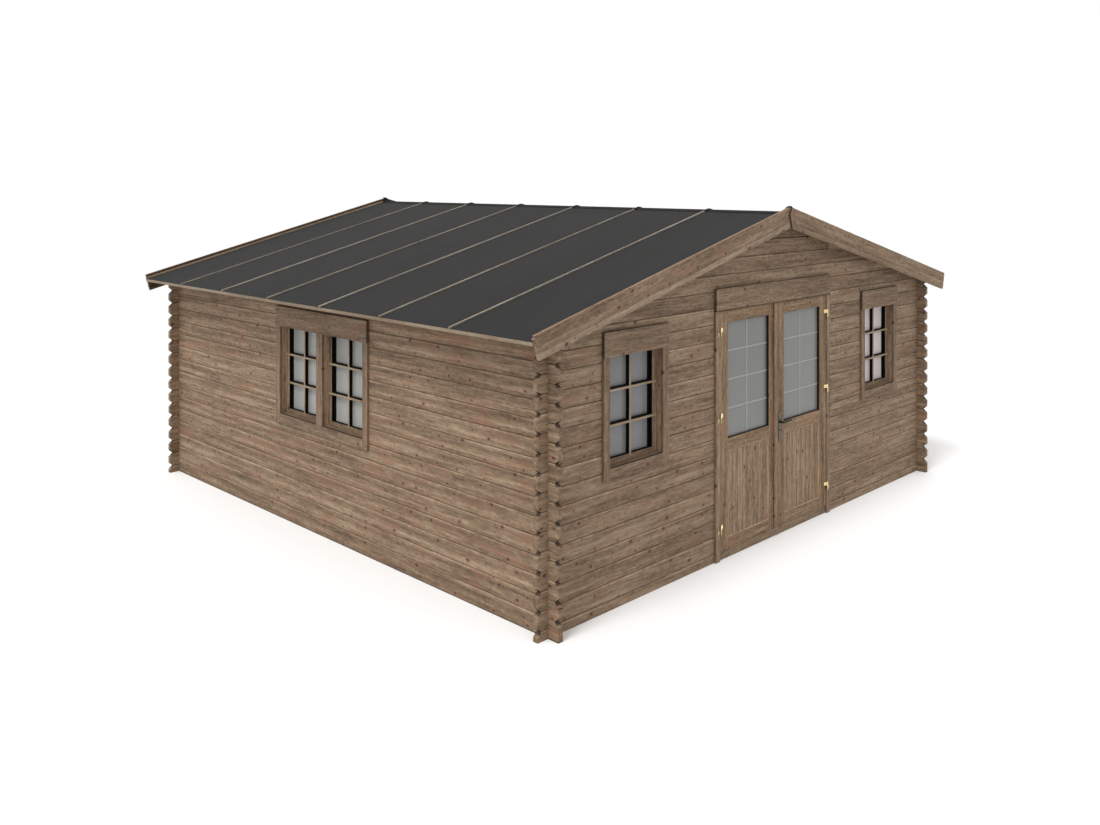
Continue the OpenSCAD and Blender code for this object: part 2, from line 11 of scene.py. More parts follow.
import bmesh
import bpy
import numpy as np
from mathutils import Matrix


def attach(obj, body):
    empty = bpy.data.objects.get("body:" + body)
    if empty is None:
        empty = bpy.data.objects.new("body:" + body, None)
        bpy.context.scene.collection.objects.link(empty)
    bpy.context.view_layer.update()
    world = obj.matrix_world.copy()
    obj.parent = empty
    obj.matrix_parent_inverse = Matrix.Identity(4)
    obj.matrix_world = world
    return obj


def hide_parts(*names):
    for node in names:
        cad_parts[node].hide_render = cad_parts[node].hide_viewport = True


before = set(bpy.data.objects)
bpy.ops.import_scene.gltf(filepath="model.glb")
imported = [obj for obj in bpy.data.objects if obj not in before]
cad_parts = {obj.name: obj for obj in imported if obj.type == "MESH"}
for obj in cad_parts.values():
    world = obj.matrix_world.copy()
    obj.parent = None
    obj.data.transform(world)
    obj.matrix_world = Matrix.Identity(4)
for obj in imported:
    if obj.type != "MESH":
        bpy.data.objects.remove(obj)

LOG = logging.getLogger("log_cabin")
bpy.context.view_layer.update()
MM = 0.001
HAIR = 0.2 * MM
FAR = 10.0
CABIN = "cabin"
UNIT = np.eye(3)
ALONG_X, ALONG_Y, ALONG_Z = UNIT

Material = bpy.types.Material
Colour = tuple[float, float, float]
Number = Union[float, "Val"]
Place = tuple["Val", "Val", "Val"]
WHITE: Colour = (1.0, 1.0, 1.0)


class Axis(Enum):
    """The part's own directions: right, back and up."""

    X = 0
    Y = 1
    Z = 2

    @property
    def crossing(self) -> "Axis":
        """The level axis across this one."""
        return Axis.Y if self is Axis.X else Axis.X


class Side(Enum):
    """The two halves of the cabin, as the sign of x."""

    LEFT = -1
    RIGHT = 1


def _math(operation: str, swapped: bool = False) -> Callable[..., "Val"]:
    """Makes a method of Val.

    Args:
        operation: what the method's Math node does.
        swapped: whether the other number comes first.
    Returns:
        The method.
    """
    def method(self: "Val", *other: Number) -> "Val":
        """This, with the other number if there is one, through a Math node."""
        return self.graph.math(operation, *((*other, self) if swapped else (self, *other)))
    return method


class Val:
    """A value that varies over a surface: a shader socket that Python expressions can use.

    A comparison is 1 where it holds, else 0. least and most give the smaller and the larger of two values.
    """

    __add__, __radd__ = _math("ADD"), _math("ADD", swapped=True)
    __sub__, __rsub__ = _math("SUBTRACT"), _math("SUBTRACT", swapped=True)
    __mul__, __rmul__ = _math("MULTIPLY"), _math("MULTIPLY", swapped=True)
    __truediv__, __gt__, __lt__ = map(_math, ("DIVIDE", "GREATER_THAN", "LESS_THAN"))
    least, most = map(_math, ("MINIMUM", "MAXIMUM"))
    __abs__, floor, root, sign = map(_math, ("ABSOLUTE", "FLOOR", "SQRT", "SIGN"))

    def __init__(self, graph: "Graph", socket: bpy.types.NodeSocket) -> None:
        """Keeps the socket and its graph."""
        self.graph = graph
        self.socket = socket

    def rise(self, low: float, high: float) -> "Val":
        """0 at low, 1 at high and a smooth step between; low may be above high."""
        return self.graph.val("MapRange", {"interpolation_type": "SMOOTHSTEP"},
                              {"Value": self, "From Min": low, "From Max": high}, "Result")

    def between(self, other: "Val", share: "Val") -> "Val":
        """This where share is 0, other where it is 1."""
        return self + (other - self) * share


class Graph:
    """The node graph of one material or world."""

    def __init__(self, owner: Union[Material, bpy.types.World]) -> None:
        """Empties the owner's graph.

        Args:
            owner: the material or world.
        """
        self.owner = owner
        owner.use_nodes = True
        self.tree = owner.node_tree
        self.tree.nodes.clear()

    @classmethod
    def of_material(cls, name: str) -> "Graph":
        """The graph of a new material."""
        return cls(bpy.data.materials.new(name))

    def node(self, kind: str, settings: Optional[dict] = None,
             sockets: Optional[dict] = None) -> bpy.types.Node:
        """Adds a node.

        Args:
            kind: the node's type, without its ShaderNode prefix.
            settings: properties, set first; "stops" holds a ramp's positions and colours.
            sockets: values or links of the inputs, by name or number.
        Returns:
            The new node.
        """
        made = self.tree.nodes.new("ShaderNode" + kind)
        for key, value in (settings or {}).items():
            if key == "stops":
                self._set_stops(made.color_ramp.elements, value)
            else:
                setattr(made, key, value)
        for key, value in (sockets or {}).items():
            self._plug(made.inputs[key], value)
        return made

    def val(self, kind: str, settings: Optional[dict] = None, sockets: Optional[dict] = None,
            output: Union[int, str] = 0) -> Val:
        """Adds a node and gives one of its outputs, by name or number."""
        return Val(self, self.node(kind, settings, sockets).outputs[output])

    @staticmethod
    def _set_stops(elements: bpy.types.ColorRampElements, stops: Sequence[tuple[float, Colour]]) -> None:
        """Fills a ramp that starts with two stops.

        Args:
            elements: the ramp's stops.
            stops: their positions and colours.
        """
        while len(elements) < len(stops):
            elements.new(1.0)
        for element, (position, colour) in zip(elements, stops):
            element.position = position
            element.color = (*colour, 1.0)

    def _plug(self, socket: bpy.types.NodeSocket, value: object) -> None:
        """Links or sets an input.

        Args:
            socket: the input.
            value: a Val or a socket to link, or a plain value.
        """
        if isinstance(value, Val):
            value = value.socket
        if isinstance(value, bpy.types.NodeSocket):
            self.tree.links.new(value, socket)
        elif isinstance(value, tuple) and len(value) == 3 and socket.type == "RGBA":
            socket.default_value = (*value, 1.0)
        else:
            socket.default_value = value

    def math(self, operation: str, *values: Number) -> Val:
        """A Math node on one or two values."""
        return self.val("Math", {"operation": operation}, dict(enumerate(values)))

    def vector(self, parts: Sequence[Number]) -> Val:
        """A vector from three values."""
        return self.val("CombineXYZ", None, dict(enumerate(parts)))

    def parts(self, vector: Val) -> Place:
        """The three values of a vector."""
        made = self.node("SeparateXYZ", None, {0: vector})
        return tuple(Val(self, made.outputs[i]) for i in range(3))

    def place(self) -> Place:
        """The point's place in the part's frame, in metres."""
        return self.parts(self.val("TexCoord", output="Object"))

    def facing(self) -> Place:
        """The surface's direction in the part's frame."""
        return self.parts(self.val("TexCoord", output="Normal"))

    def noise(self, spot: Sequence[Number], detail: float = 2.0, roughness: float = 0.5) -> Val:
        """Soft noise round 0, from about -0.5 to 0.5, at a spot that is already scaled."""
        sockets = {"Vector": self.vector(spot), "Scale": 1.0, "Detail": detail, "Roughness": roughness}
        return self.val("TexNoise", None, sockets) - 0.5

    def cloud(self, place: Place, scales: Sequence[float], detail: float, roughness: float = 0.5) -> Val:
        """Noise with so many waves for each metre along x, y and z."""
        return self.noise([part * scale for part, scale in zip(place, scales)], detail, roughness)

    def luck(self, number: Val) -> Val:
        """A fixed random value from 0 to 1 for each whole number."""
        return self.val("TexWhiteNoise", {"noise_dimensions": "1D"}, {"W": number}, "Value")

    def seen(self) -> Val:
        """Tells rays that show a surface from those that only carry light.

        Returns:
            1 for camera, glossy and transmission rays, else 0.
        """
        path = self.node("LightPath")
        camera, glossy, through = (Val(self, path.outputs[f"Is {kind} Ray"])
                                   for kind in ("Camera", "Glossy", "Transmission"))
        return camera.most(glossy).most(through)

    def ramp(self, value: Val, stops: Sequence[tuple[float, Colour]]) -> Val:
        """Colours by value."""
        return self.val("ValToRGB", {"stops": stops}, {0: value})

    def mix(self, share: Number, first: object, second: object, blend: str = "MIX") -> Val:
        """First where share is 0, second (or their blend) where it is 1."""
        sockets = {0: share, 6: first, 7: second}
        return self.val("Mix", {"data_type": "RGBA", "blend_type": blend}, sockets, 2)

    def shade(self, colour: Union[Colour, Val], level: Val) -> Val:
        """A colour times a level."""
        return self.mix(1.0, colour, self.vector((level, level, level)), "MULTIPLY")

    def bump(self, height: Val, strength: float, distance: float) -> Val:
        """A normal that follows a height."""
        return self.val("Bump", None, {"Strength": strength, "Distance": distance, "Height": height})

    def finish(self, sockets: dict) -> Material:
        """Ends the graph in a Principled shader.

        Args:
            sockets: the shader's inputs.
        Returns:
            The material.
        """
        shader = self.node("BsdfPrincipled", None, sockets)
        self.node("OutputMaterial", None, {"Surface": shader.outputs[0]})
        return self.owner


class Grain(NamedTuple):
    """Where a point lies in its board: along the grain, across it, into the board, the board's number and
    the share of the board's width below the point."""

    run: Val
    rise: Val
    deep: Val
    board: Val
    part: Val


@dataclass(frozen=True)
class Boards:
    """Straight boards or logs side by side, counted across their grain."""

    along: Axis
    across: Axis
    pitch: float
    offset: float = 0.0

    def lay(self, place: Place) -> Grain:
        """The grain at a place.

        Args:
            place: the point in the part's frame.
        Returns:
            Its place in its board.
        """
        third = next(axis for axis in Axis if axis not in (self.along, self.across))
        run, rise, deep = (place[axis.value] for axis in (self.along, self.across, third))
        count = (rise - self.offset) / self.pitch
        board = count.floor()
        return Grain(run, rise, deep, board, count - board)


@dataclass(frozen=True)
class Framed:
    """Stiles that stand and rails that lie, in one frame or in two like ones beside a middle."""

    across: Axis
    middle: float
    inner: float
    spread: float = 0.0
    post: float = 0.0
    foot: float = -FAR
    top: float = FAR

    def lay(self, place: Place) -> Grain:
        """The grain at a place: a stile lies beyond inner from a frame's middle, a post within post of it
        and above foot.

        Args:
            place: the point in the part's frame.
        Returns:
            Its place in its stile or rail.
        """
        level = place[self.across.value] - self.middle
        deep = place[self.across.crossing.value]
        height = place[Axis.Z.value]
        reach = abs(abs(level) - self.spread)
        stands = (reach > self.inner).most((reach < self.post) * (height > self.foot)) * (height < self.top)
        board = level.sign() * stands
        return Grain(level.between(height, stands), height.between(level, stands), deep, board, stands)


@dataclass(frozen=True)
class Sloping:
    """Boards that run down the roof on both sides of the ridge."""

    slope: float
    pitch: float
    side_step: float = 7.0

    def lay(self, place: Place) -> Grain:
        """The grain at a place: rise is the height over the line of the roof.

        Args:
            place: the point in the part's frame.
        Returns:
            Its place in its board.
        """
        x, y, z = place
        count = y / self.pitch
        board = count.floor()
        return Grain(abs(x), z + abs(x) * self.slope, y, board + x.sign() * self.side_step, count - board)


@dataclass(frozen=True)
class WoodTone:
    """Colours of a wood, from its late rings to its sapwood."""

    dark: Colour
    mid: Colour
    pale: Colour
    red: Colour
    knot: Colour = (0.060, 0.036, 0.024)


WEATHERED = WoodTone((0.112, 0.071, 0.042), (0.228, 0.155, 0.098), (0.350, 0.260, 0.178),
                     (0.245, 0.130, 0.082))
WARM = WoodTone((0.112, 0.068, 0.036), (0.225, 0.148, 0.085), (0.345, 0.248, 0.155), (0.255, 0.128, 0.072))
PALE = WoodTone((0.160, 0.132, 0.100), (0.310, 0.268, 0.208), (0.440, 0.395, 0.325), (0.300, 0.215, 0.160))
SANDY = WoodTone((0.225, 0.160, 0.105), (0.350, 0.262, 0.180), (0.450, 0.355, 0.260), (0.330, 0.210, 0.140))
CLEAN = WoodTone((0.300, 0.205, 0.120), (0.440, 0.325, 0.205), (0.550, 0.430, 0.290), (0.420, 0.265, 0.155))


class Streaks(NamedTuple):
    """Noise stretched along the grain: waves for each metre along and across it, its detail and roughness,
    and how much it changes the wood's tone."""

    along: float
    across: float
    detail: float
    roughness: float
    weight: float

    def at(self, graph: Graph, grain: Grain, shift: Val) -> Val:
        """The noise at a point, moved along the grain by shift."""
        spot = (grain.run * self.along + shift, grain.rise * self.across, grain.deep * self.across)
        return graph.noise(spot, self.detail, self.roughness)


FINE = Streaks(5.0, 105.0, 4.0, 0.62, 1.15)
FLECK = Streaks(20.0, 50.0, 4.0, 0.7, 1.2)
BROAD = Streaks(1.2, 21.0, 2.0, 0.5, 0.95)
PATCH = Streaks(2.6, 9.0, 3.0, 0.5, 0.3)


class Finish:
    """What all finishes share."""

    def build(self) -> Material:
        """Makes the material."""
        raise NotImplementedError

    def put_on(self, *nodes: str) -> None:
        """Gives CAD nodes this finish."""
        dress(self.build(), *nodes)


@dataclass(frozen=True)
class WoodFinish(Finish):
    """Sawn softwood: streaks along the grain, ruddy patches, small dark knots, dark joints and painted light
    and shade.
    """

    name: str
    grain: Union[Boards, Framed, Sloping]
    tone: WoodTone = WEATHERED
    seed: float = 0.0
    lift: float = 1.0
    # Painted light and shade by facing: side faces take edge_shade on stiles and head_shade on rails, faces
    # turned up take top_shade.
    face: Optional[Axis] = None
    edge_shade: float = 0.7
    top_shade: float = 0.4
    head_shade: float = 0.7
    end: Optional[Axis] = None
    heart: float = 0.0
    joint: float = 0.0
    streak: float = 0.0
    ruddy: float = 0.5
    verge: float = 0.0
    verge_h: float = 50 * MM
    # Painted shadow along the lower edge of the door's head: where that edge lies, and how far above it the
    # dark line runs.
    head_shadow_at: float = 0.0
    head_shadow_h: float = 4 * MM
    sap_at: float = 0.37
    heartwood_at: float = 0.72
    knot_gap: tuple[float, float] = (0.30, 0.068)
    knot_size: float = 1.0
    knot_spare: float = 0.30
    knot_least: float = 4.5 * MM
    knot_growth: float = 8.5 * MM
    halo: float = 2.6
    board_shift: float = 23.0
    board_spread: float = 0.2
    roughness: float = 0.72

    def build(self) -> Material:
        """Makes the material.

        Returns:
            The material.
        """
        graph, tone = Graph.of_material(self.name), self.tone
        place, facing = graph.place(), graph.facing()
        grain = self.grain.lay(place)
        luck = graph.luck(grain.board + self.seed)
        shift = luck * self.board_shift
        fine, fleck, broad = (kind.at(graph, grain, shift) for kind in (FINE, FLECK, BROAD))
        patch = PATCH.at(graph, grain, shift * -1.0)
        knot, halo = self._knots(graph, grain, shift, broad)
        value = 0.5 + fine * FINE.weight + fleck * FLECK.weight + broad * BROAD.weight
        value = value + patch * PATCH.weight + (luck - 0.5) * self.board_spread
        colour = graph.ramp(value, ((0.08, tone.dark), (0.5, tone.mid), (0.92, tone.pale)))
        colour = graph.mix(patch.rise(0.05, 0.17) * self.ruddy, colour, tone.red)
        if self.verge:
            low = (grain.rise - self.verge).rise(self.verge_h + 4 * MM, self.verge_h - 4 * MM)
            band_share = low * (place[0] * place[1] > 0.0) * 0.6
            colour = graph.mix(band_share, colour, graph.shade(SANDY.mid, 0.5 + value))
        colour = graph.mix(halo * 0.5, colour, tone.red)
        colour = graph.mix(knot * 0.92, colour, tone.knot)
        colour = graph.shade(colour, self._light_and_dirt(graph, place, facing, grain, broad))
        height = fine * 0.6 + fleck * 0.2 + broad * 0.4 - knot * 0.25
        return graph.finish({
            "Base Color": colour,
            "Roughness": self.roughness - fine * 0.22 - knot * 0.1,
            "Specular IOR Level": 0.28,
            "Normal": graph.bump(height, 0.5, 2.5 * MM),
        })

    def _knots(self, graph: Graph, grain: Grain, shift: Val, broad: Val) -> tuple[Val, Val]:
        """Knots strewn one to a cell: each is an oval round its cell's point, of its own size.

        Args:
            graph: the material's graph.
            grain: the point's place in its board.
            shift: how far the board's pattern is moved along the grain.
            broad: noise that roughens the knots' outlines.
        Returns:
            The knot's own mask and that of the ruddy halo round it.
        """
        long_cell, wide_cell = self.knot_gap
        spot = ((grain.run + shift) / long_cell, (grain.rise + grain.deep * 0.35) / wide_cell, 0.0)
        cells = graph.node("TexVoronoi", {"voronoi_dimensions": "2D"},
                           {"Vector": graph.vector(spot), "Scale": 1.0})
        centre = graph.parts(Val(graph, cells.outputs["Position"]))
        chance, size, _ = graph.parts(Val(graph, cells.outputs["Color"]))
        run = (spot[0] - centre[0]) * (long_cell * 0.72)
        rise = (spot[1] - centre[1]) * wide_cell
        far = (run * run + rise * rise).root() * (1.0 + broad * 0.9)
        radius = self.knot_least + size * size * self.knot_growth
        radius = radius * (chance > self.knot_spare) * self.knot_size
        return (radius - far).rise(-1.6 * MM, 2 * MM), (radius * self.halo - far).rise(-4 * MM, 6 * MM)

    def _light_and_dirt(self, graph: Graph, place: Place, facing: Place, grain: Grain, broad: Val) -> Val:
        """The level that the colour is multiplied by: sapwood streaks, dark joints, end grain, and painted
        light and shade.

        Args:
            graph: the material's graph.
            place: the point in the part's frame.
            facing: the surface's direction.
            grain: the point's place in its board.
            broad: noise along the grain, which bends the streaks.
        Returns:
            The level, 1 for plain wood.
        """
        level = self.lift + broad * 0.2
        if self.streak:
            sap = abs(grain.part - self.sap_at + broad * 0.16).rise(0.13, 0.03)
            dark = abs(grain.part - self.heartwood_at + broad * 0.2).rise(0.16, 0.02)
            length = 0.55 + graph.noise((grain.run * 0.9, grain.board, 0.0)) * 0.9
            level = level + sap * length * self.streak - dark * self.streak * 0.35
        # Joints: a dark line on the board's lower side at each joint, and a painted highlight along its
        # upper side under the next joint.
        if self.joint:
            foot = (grain.part * self.grain.pitch).rise(self.joint * 1.5, self.joint * 0.5)
            lit_brow = ((1.0 - grain.part) * self.grain.pitch).rise(self.joint * 2.2, self.joint * 0.8)
            level = level * (1.0 - foot * 0.72) * (1.0 + lit_brow * 0.4)
        # Bargeboards: a dark seam where they meet at the apex, painted shade on their inner faces and a dark
        # line over the pale lower band.
        if self.verge:
            seam = abs(place[0]).rise(11 * MM, 6 * MM) * 0.8
            back = (place[1] * facing[1]).rise(-0.5, -1.5) * 0.6
            line = abs(grain.rise - self.verge - (self.verge_h + 2 * MM)).rise(6 * MM, 2 * MM) * 0.3
            level = level * (1.0 - seam) * (1.0 - back) * (1.0 - line)
        # Painted shadow: a dark line along the lower edge of the door's head, for the shaded gap under it.
        if self.head_shadow_at:
            level = level * (1.0 - abs(place[2] - self.head_shadow_at - self.head_shadow_h).rise(7 * MM, 3 * MM) * 0.66)
        # Painted light and shade by facing: side and top faces are made darker or lighter than the front.
        if self.face is not None:
            side = abs(facing[self.face.value]).rise(0.75, 0.35)
            over = facing[Axis.Z.value].rise(0.5, 0.8)
            edge = self.head_shade + (self.edge_shade - self.head_shade) * grain.part
            level = level * (1.0 - side * (1.0 - edge)) * (1.0 - over * (1.0 - self.top_shade))
        # End grain: darker end faces with rings, and painted shade on the end bevels near each joint, where
        # the notches lie in shade.
        if self.end is not None:
            tall, deep = (grain.part + 0.4) * self.grain.pitch, abs(grain.deep) - self.heart
            rings = graph.noise(((tall * tall + deep * deep).root() * 210.0, grain.board, 0.0), 3.0)
            ahead = abs(facing[self.end.value])
            gap = grain.part.least(1.0 - grain.part) * self.grain.pitch
            slant = ahead.rise(0.3, 0.5) * ahead.rise(0.95, 0.8)
            notch_shade = slant * gap.rise(26 * MM, 14 * MM)
            level = level * (1.0 - ahead.rise(0.85, 0.97) * (0.12 - rings * 0.75)) * (1.0 - notch_shade * 0.74)
        return level


@dataclass(frozen=True)
class FeltFinish(Finish):
    """Mineral roofing felt: dark, with a fine grit and faint marks down the slope, strip by strip."""

    name: str
    strip: float
    colour: Colour = (0.0200, 0.0197, 0.0190)
    grit_scale: float = 900.0
    cloud_scale: float = 2.2
    side_step: float = 9.0

    def build(self) -> Material:
        """Makes the material.

        Returns:
            The material.
        """
        graph = Graph.of_material(self.name)
        x, y, z = graph.place()
        grit = graph.cloud((x, y, z), (self.grit_scale,) * 3, 2.0, 0.7)
        marks = graph.noise((x * 0.7, y * 6.0, 0.0), 3.0)
        cloud = graph.noise((x * self.cloud_scale, y * self.cloud_scale, 1.0), 3.0)
        luck = graph.luck((y / self.strip).floor() + x.sign() * self.side_step)
        level = 0.94 + grit * 0.75 + marks * 0.28 + cloud * 0.30 + luck * 0.1
        return graph.finish({
            "Base Color": graph.shade(self.colour, level),
            "Roughness": 0.86 - grit * 0.2,
            "Specular IOR Level": 0.2,
            "Normal": graph.bump(grit + cloud * 0.4, 0.45, 1.5 * MM),
        })


@dataclass(frozen=True)
class PlainFinish(Finish):
    """Metal, rubber or paint: one colour with faint clouds, fine marks and a touch of wear."""

    name: str
    colour: Colour
    roughness: float
    metallic: float = 0.0
    wear: float = 0.2
    specular: float = 0.5

    def build(self) -> Material:
        """Makes the material.

        Returns:
            The material.
        """
        graph = Graph.of_material(self.name)
        place = graph.place()
        cloud = graph.cloud(place, (42.0, 42.0, 42.0), 3.0)
        marks = graph.cloud(place, (310.0, 310.0, 120.0), 2.0, 0.6)
        return graph.finish({
            "Base Color": graph.shade(self.colour, 1.0 + cloud * self.wear * 2.0 + marks * self.wear),
            "Metallic": self.metallic,
            "Roughness": self.roughness + cloud * 0.25 + marks * 0.12,
            "Specular IOR Level": self.specular,
            "Normal": graph.bump(marks, 0.08, 0.8 * MM),
        })


@dataclass(frozen=True)
class GlassFinish(Finish):
    """A pane painted as a reflection of a pale sky: grey, glossy, with soft clouds and streaks of dust."""

    name: str
    colour: Colour

    def build(self) -> Material:
        """Makes the material.

        Returns:
            The material.
        """
        graph = Graph.of_material(self.name)
        place = graph.place()
        cloud = graph.cloud(place, (1.9, 1.9, 1.3), 2.0)
        dust = graph.cloud(place, (37.0, 37.0, 9.0), 3.0)
        # The grey is a painted reflection of the sky.
        return graph.finish({
            "Base Color": graph.shade(self.colour, 1.0 + cloud * 0.22 + dust * 0.05),
            "Roughness": 0.24 + dust * 0.12,
            "Specular IOR Level": 0.4,
        })


class Shell(NamedTuple):
    """The points and faces of a surface."""

    points: np.ndarray
    faces: list


def node_points(name: str) -> np.ndarray:
    """Reads a node's solid.

    Args:
        name: the node.
    Returns:
        Its corners, one row each, in metres.
    """
    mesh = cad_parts[name].data
    flat = np.empty(len(mesh.vertices) * 3, np.float32)
    mesh.vertices.foreach_get("co", flat)
    return flat.reshape(-1, 3).astype(float)


def node_box(*names: str) -> np.ndarray:
    """The lowest and highest corners round some nodes, as two rows."""
    points = np.concatenate([node_points(name) for name in names])
    return np.stack([points.min(axis=0), points.max(axis=0)])


def smooth(share: np.ndarray) -> np.ndarray:
    """A smooth step from 0 to 1: 3 share^2 - 2 share^3, with share kept from 0 to 1."""
    share = np.clip(share, 0.0, 1.0)
    return share * share * (3 - 2 * share)


def band(rings: np.ndarray, closed: bool) -> Shell:
    """The surface through a row of rings.

    Args:
        rings: ring by ring, point by point, an array of shape (rings, points, 3).
        closed: whether the last ring joins the first; if not, both ends are capped.
    Returns:
        The shell: point (i, k) joins (i + 1, k) and (i, k + 1).
    """
    count, size, _ = rings.shape
    i = np.arange(count if closed else count - 1)[:, None]
    k = np.arange(size)[None, :]
    ahead, beside = (i + 1) % count, (k + 1) % size
    quads = np.stack([i * size + k, i * size + beside, ahead * size + beside, ahead * size + k], axis=2)
    faces = quads.reshape(-1, 4).tolist()
    if not closed:
        faces += [list(range(size))[::-1], list(range((count - 1) * size, count * size))]
    return Shell(rings.reshape(-1, 3), faces)


def carry(profile: np.ndarray, start: np.ndarray, end: np.ndarray, across: np.ndarray,
          up: np.ndarray) -> Shell:
    """A closed profile carried straight from start to end.

    Args:
        profile: points (a, b) of the outline.
        start: where the path starts.
        end: where the path ends.
        across: direction of a.
        up: direction of b.
    Returns:
        The shell: point (t, k) = start + t (end - start) + a_k across + b_k up.
    """
    share = np.array([0.0, 1.0])[:, None, None]
    path = start + share * (end - start)
    offset = profile[:, :1] * across + profile[:, 1:] * up
    return band(path + offset[None], closed=False)


def carry_round(profile: np.ndarray, low: np.ndarray, high: np.ndarray, across: Axis) -> Shell:
    """A closed profile carried round an upright rectangle, mitred at its corners.

    Args:
        profile: points (inward, deep) of the outline.
        low: lower corner of the rectangle, with its depth's start.
        high: upper corner of the rectangle.
        across: the rectangle's level axis.
    Returns:
        The shell: at a corner with signs (s, t), a point lies at (middle + s (half - inward), ...).
    """
    wide, tall, deep = across.value, Axis.Z.value, across.crossing.value
    signs = np.array([[-1, -1], [1, -1], [1, 1], [-1, 1]], float)
    middle, half = (low + high) / 2, (high - low) / 2
    rings = np.empty((4, len(profile), 3))
    rings[:, :, wide] = middle[wide] + signs[:, :1] * (half[wide] - profile[None, :, 0])
    rings[:, :, tall] = middle[tall] + signs[:, 1:] * (half[tall] - profile[None, :, 0])
    rings[:, :, deep] = low[deep] + profile[None, :, 1]
    return band(rings, closed=True)


def turn(profile: np.ndarray, centre: np.ndarray, axis: np.ndarray, sides: int,
         hole: bool = False) -> Shell:
    """A profile turned round an axis.

    Args:
        profile: points (radius, height).
        centre: the axis's foot.
        axis: the axis's direction, of length 1.
        sides: how many steps the turn has.
        hole: whether the profile is a closed outline, which leaves a hole in the middle.
    Returns:
        The shell: point (i, k) = centre + height_i axis + radius_i (cos k, sin k), across the axis.
    """
    first = np.cross(axis, ALONG_Z if abs(axis[2]) < 0.9 else ALONG_X)
    first /= np.linalg.norm(first)
    second = np.cross(axis, first)
    angle = np.linspace(0.0, 2 * np.pi, sides, endpoint=False)
    spokes = np.cos(angle)[:, None] * first + np.sin(angle)[:, None] * second
    rings = centre + profile[:, 1, None, None] * axis + profile[:, 0, None, None] * spokes[None]
    return band(rings, closed=hole)


def bar_grid(low: np.ndarray, high: np.ndarray, across: Axis, counts: tuple[int, int], profile: np.ndarray,
             plane: float, proud: float, lap: float = 0.0, lift: float = 0.0) -> list[Shell]:
    """Bars that part a pane into columns and rows.

    Args:
        low: the pane's lower corner.
        high: the pane's upper corner.
        across: the pane's level axis.
        counts: how many columns and rows there are.
        profile: outline of a bar, (across, deep).
        plane: depth at which the outline starts.
        proud: how far the lying bars stand out before the others.
        lap: how far the lying bars reach past the pane; the others reach a third of that.
        lift: how far the lying bars are raised.
    Returns:
        One shell a bar, the standing bars first.
    """
    wide, deep, tall = across.value, across.crossing.value, Axis.Z.value
    standing = (counts[0], wide, tall, lap / 3, plane, 0.0)
    lying = (counts[1], tall, wide, lap, plane - proud, lift)
    shells = []
    for count, step, run, reach, front, raised in (standing, lying):
        for share in np.arange(1, count) / count:
            start = low + (high - low) * share
            start[step] += raised
            start[deep] = front
            end = start.copy()
            start[run], end[run] = low[run] - reach, high[run] + reach
            shells.append(carry(profile, start, end, UNIT[step], UNIT[deep]))
    return shells


def rectangle(low: tuple[float, float], high: tuple[float, float]) -> np.ndarray:
    """Outline of a rectangle between two corners."""
    return np.array([low, (high[0], low[1]), high, (low[0], high[1])])


def rounded_bar(width: float, depth: float, radius: float, steps: int = 3) -> np.ndarray:
    """Outline of a bar with two quarter rounds on its front.

    Args:
        width: how wide it is, half to each side.
        depth: how far it reaches back from its front at 0.
        radius: of the rounds.
        steps: of each round.
    Returns:
        The points (across, deep).
    """
    angle = np.linspace(0.0, np.pi / 2, steps + 1)
    arc = np.stack([width / 2 - radius + radius * np.cos(angle), radius - radius * np.sin(angle)], axis=1)
    back = np.array([[-width / 2, depth], [width / 2, depth]])
    return np.concatenate([arc, arc[::-1] * (-1, 1), back])


def grooved(low: float, high: float, count: int, thickness: float,
            groove: tuple[float, float]) -> np.ndarray:
    """Outline of boards laid edge to edge, with a V at each joint.

    Args:
        low: where the first board starts.
        high: where the last board ends.
        count: how many boards there are.
        thickness: of the boards.
        groove: width and depth of the V.
    Returns:
        The points (across, deep).
    """
    width, depth = groove
    joints = np.linspace(low, high, count + 1)[1:-1]
    cut = np.array([[-width / 2, 0.0], [0.0, depth], [width / 2, 0.0]])
    cuts = (joints[:, None, None] * (1.0, 0.0) + cut).reshape(-1, 2)
    return np.concatenate([[[low, 0.0]], cuts, [[high, 0.0], [high, thickness], [low, thickness]]])


def add_object(name: str, data: bpy.types.ID) -> bpy.types.Object:
    """Puts an object with that data in the scene.

    Args:
        name: the object's name.
        data: its mesh, light or camera.
    Returns:
        The object, at the origin.
    """
    made = bpy.data.objects.new(name, data)
    bpy.context.scene.collection.objects.link(made)
    return made


def make_piece(name: str, shells: Sequence[Shell], material: Material, body: str,
               replaces: Sequence[str] = ()) -> None:
    """Joins shells into one piece that rides on a body.

    Args:
        name: the piece's name.
        shells: its surfaces, each closed.
        material: its finish.
        body: the CAD body that it moves with.
        replaces: CAD nodes that it stands for.
    """
    starts = np.cumsum([0] + [len(shell.points) for shell in shells[:-1]])
    points = np.concatenate([shell.points for shell in shells])
    faces = [[int(start) + index for index in face]
             for start, shell in zip(starts, shells) for face in shell.faces]
    mesh = bpy.data.meshes.new(name)
    mesh.from_pydata(points.tolist(), [], faces)
    work = bmesh.new()
    work.from_mesh(mesh)
    bmesh.ops.remove_doubles(work, verts=work.verts, dist=1e-6)
    bmesh.ops.recalc_face_normals(work, faces=work.faces)
    work.to_mesh(mesh)
    work.free()
    mesh.materials.append(material)
    piece = add_object(name, mesh)
    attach(piece, body)
    if replaces:
        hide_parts(*replaces)
    LOG.info("piece %s: %d faces, on %s", name, len(mesh.polygons), body)


def dress(material: Material, *names: str) -> None:
    """Gives CAD nodes a material.

    Args:
        material: the finish.
        names: the nodes.
    """
    for name in names:
        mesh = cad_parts[name].data
        mesh.materials.clear()
        mesh.materials.append(material)
        LOG.info("node %s: %s", name, material.name)


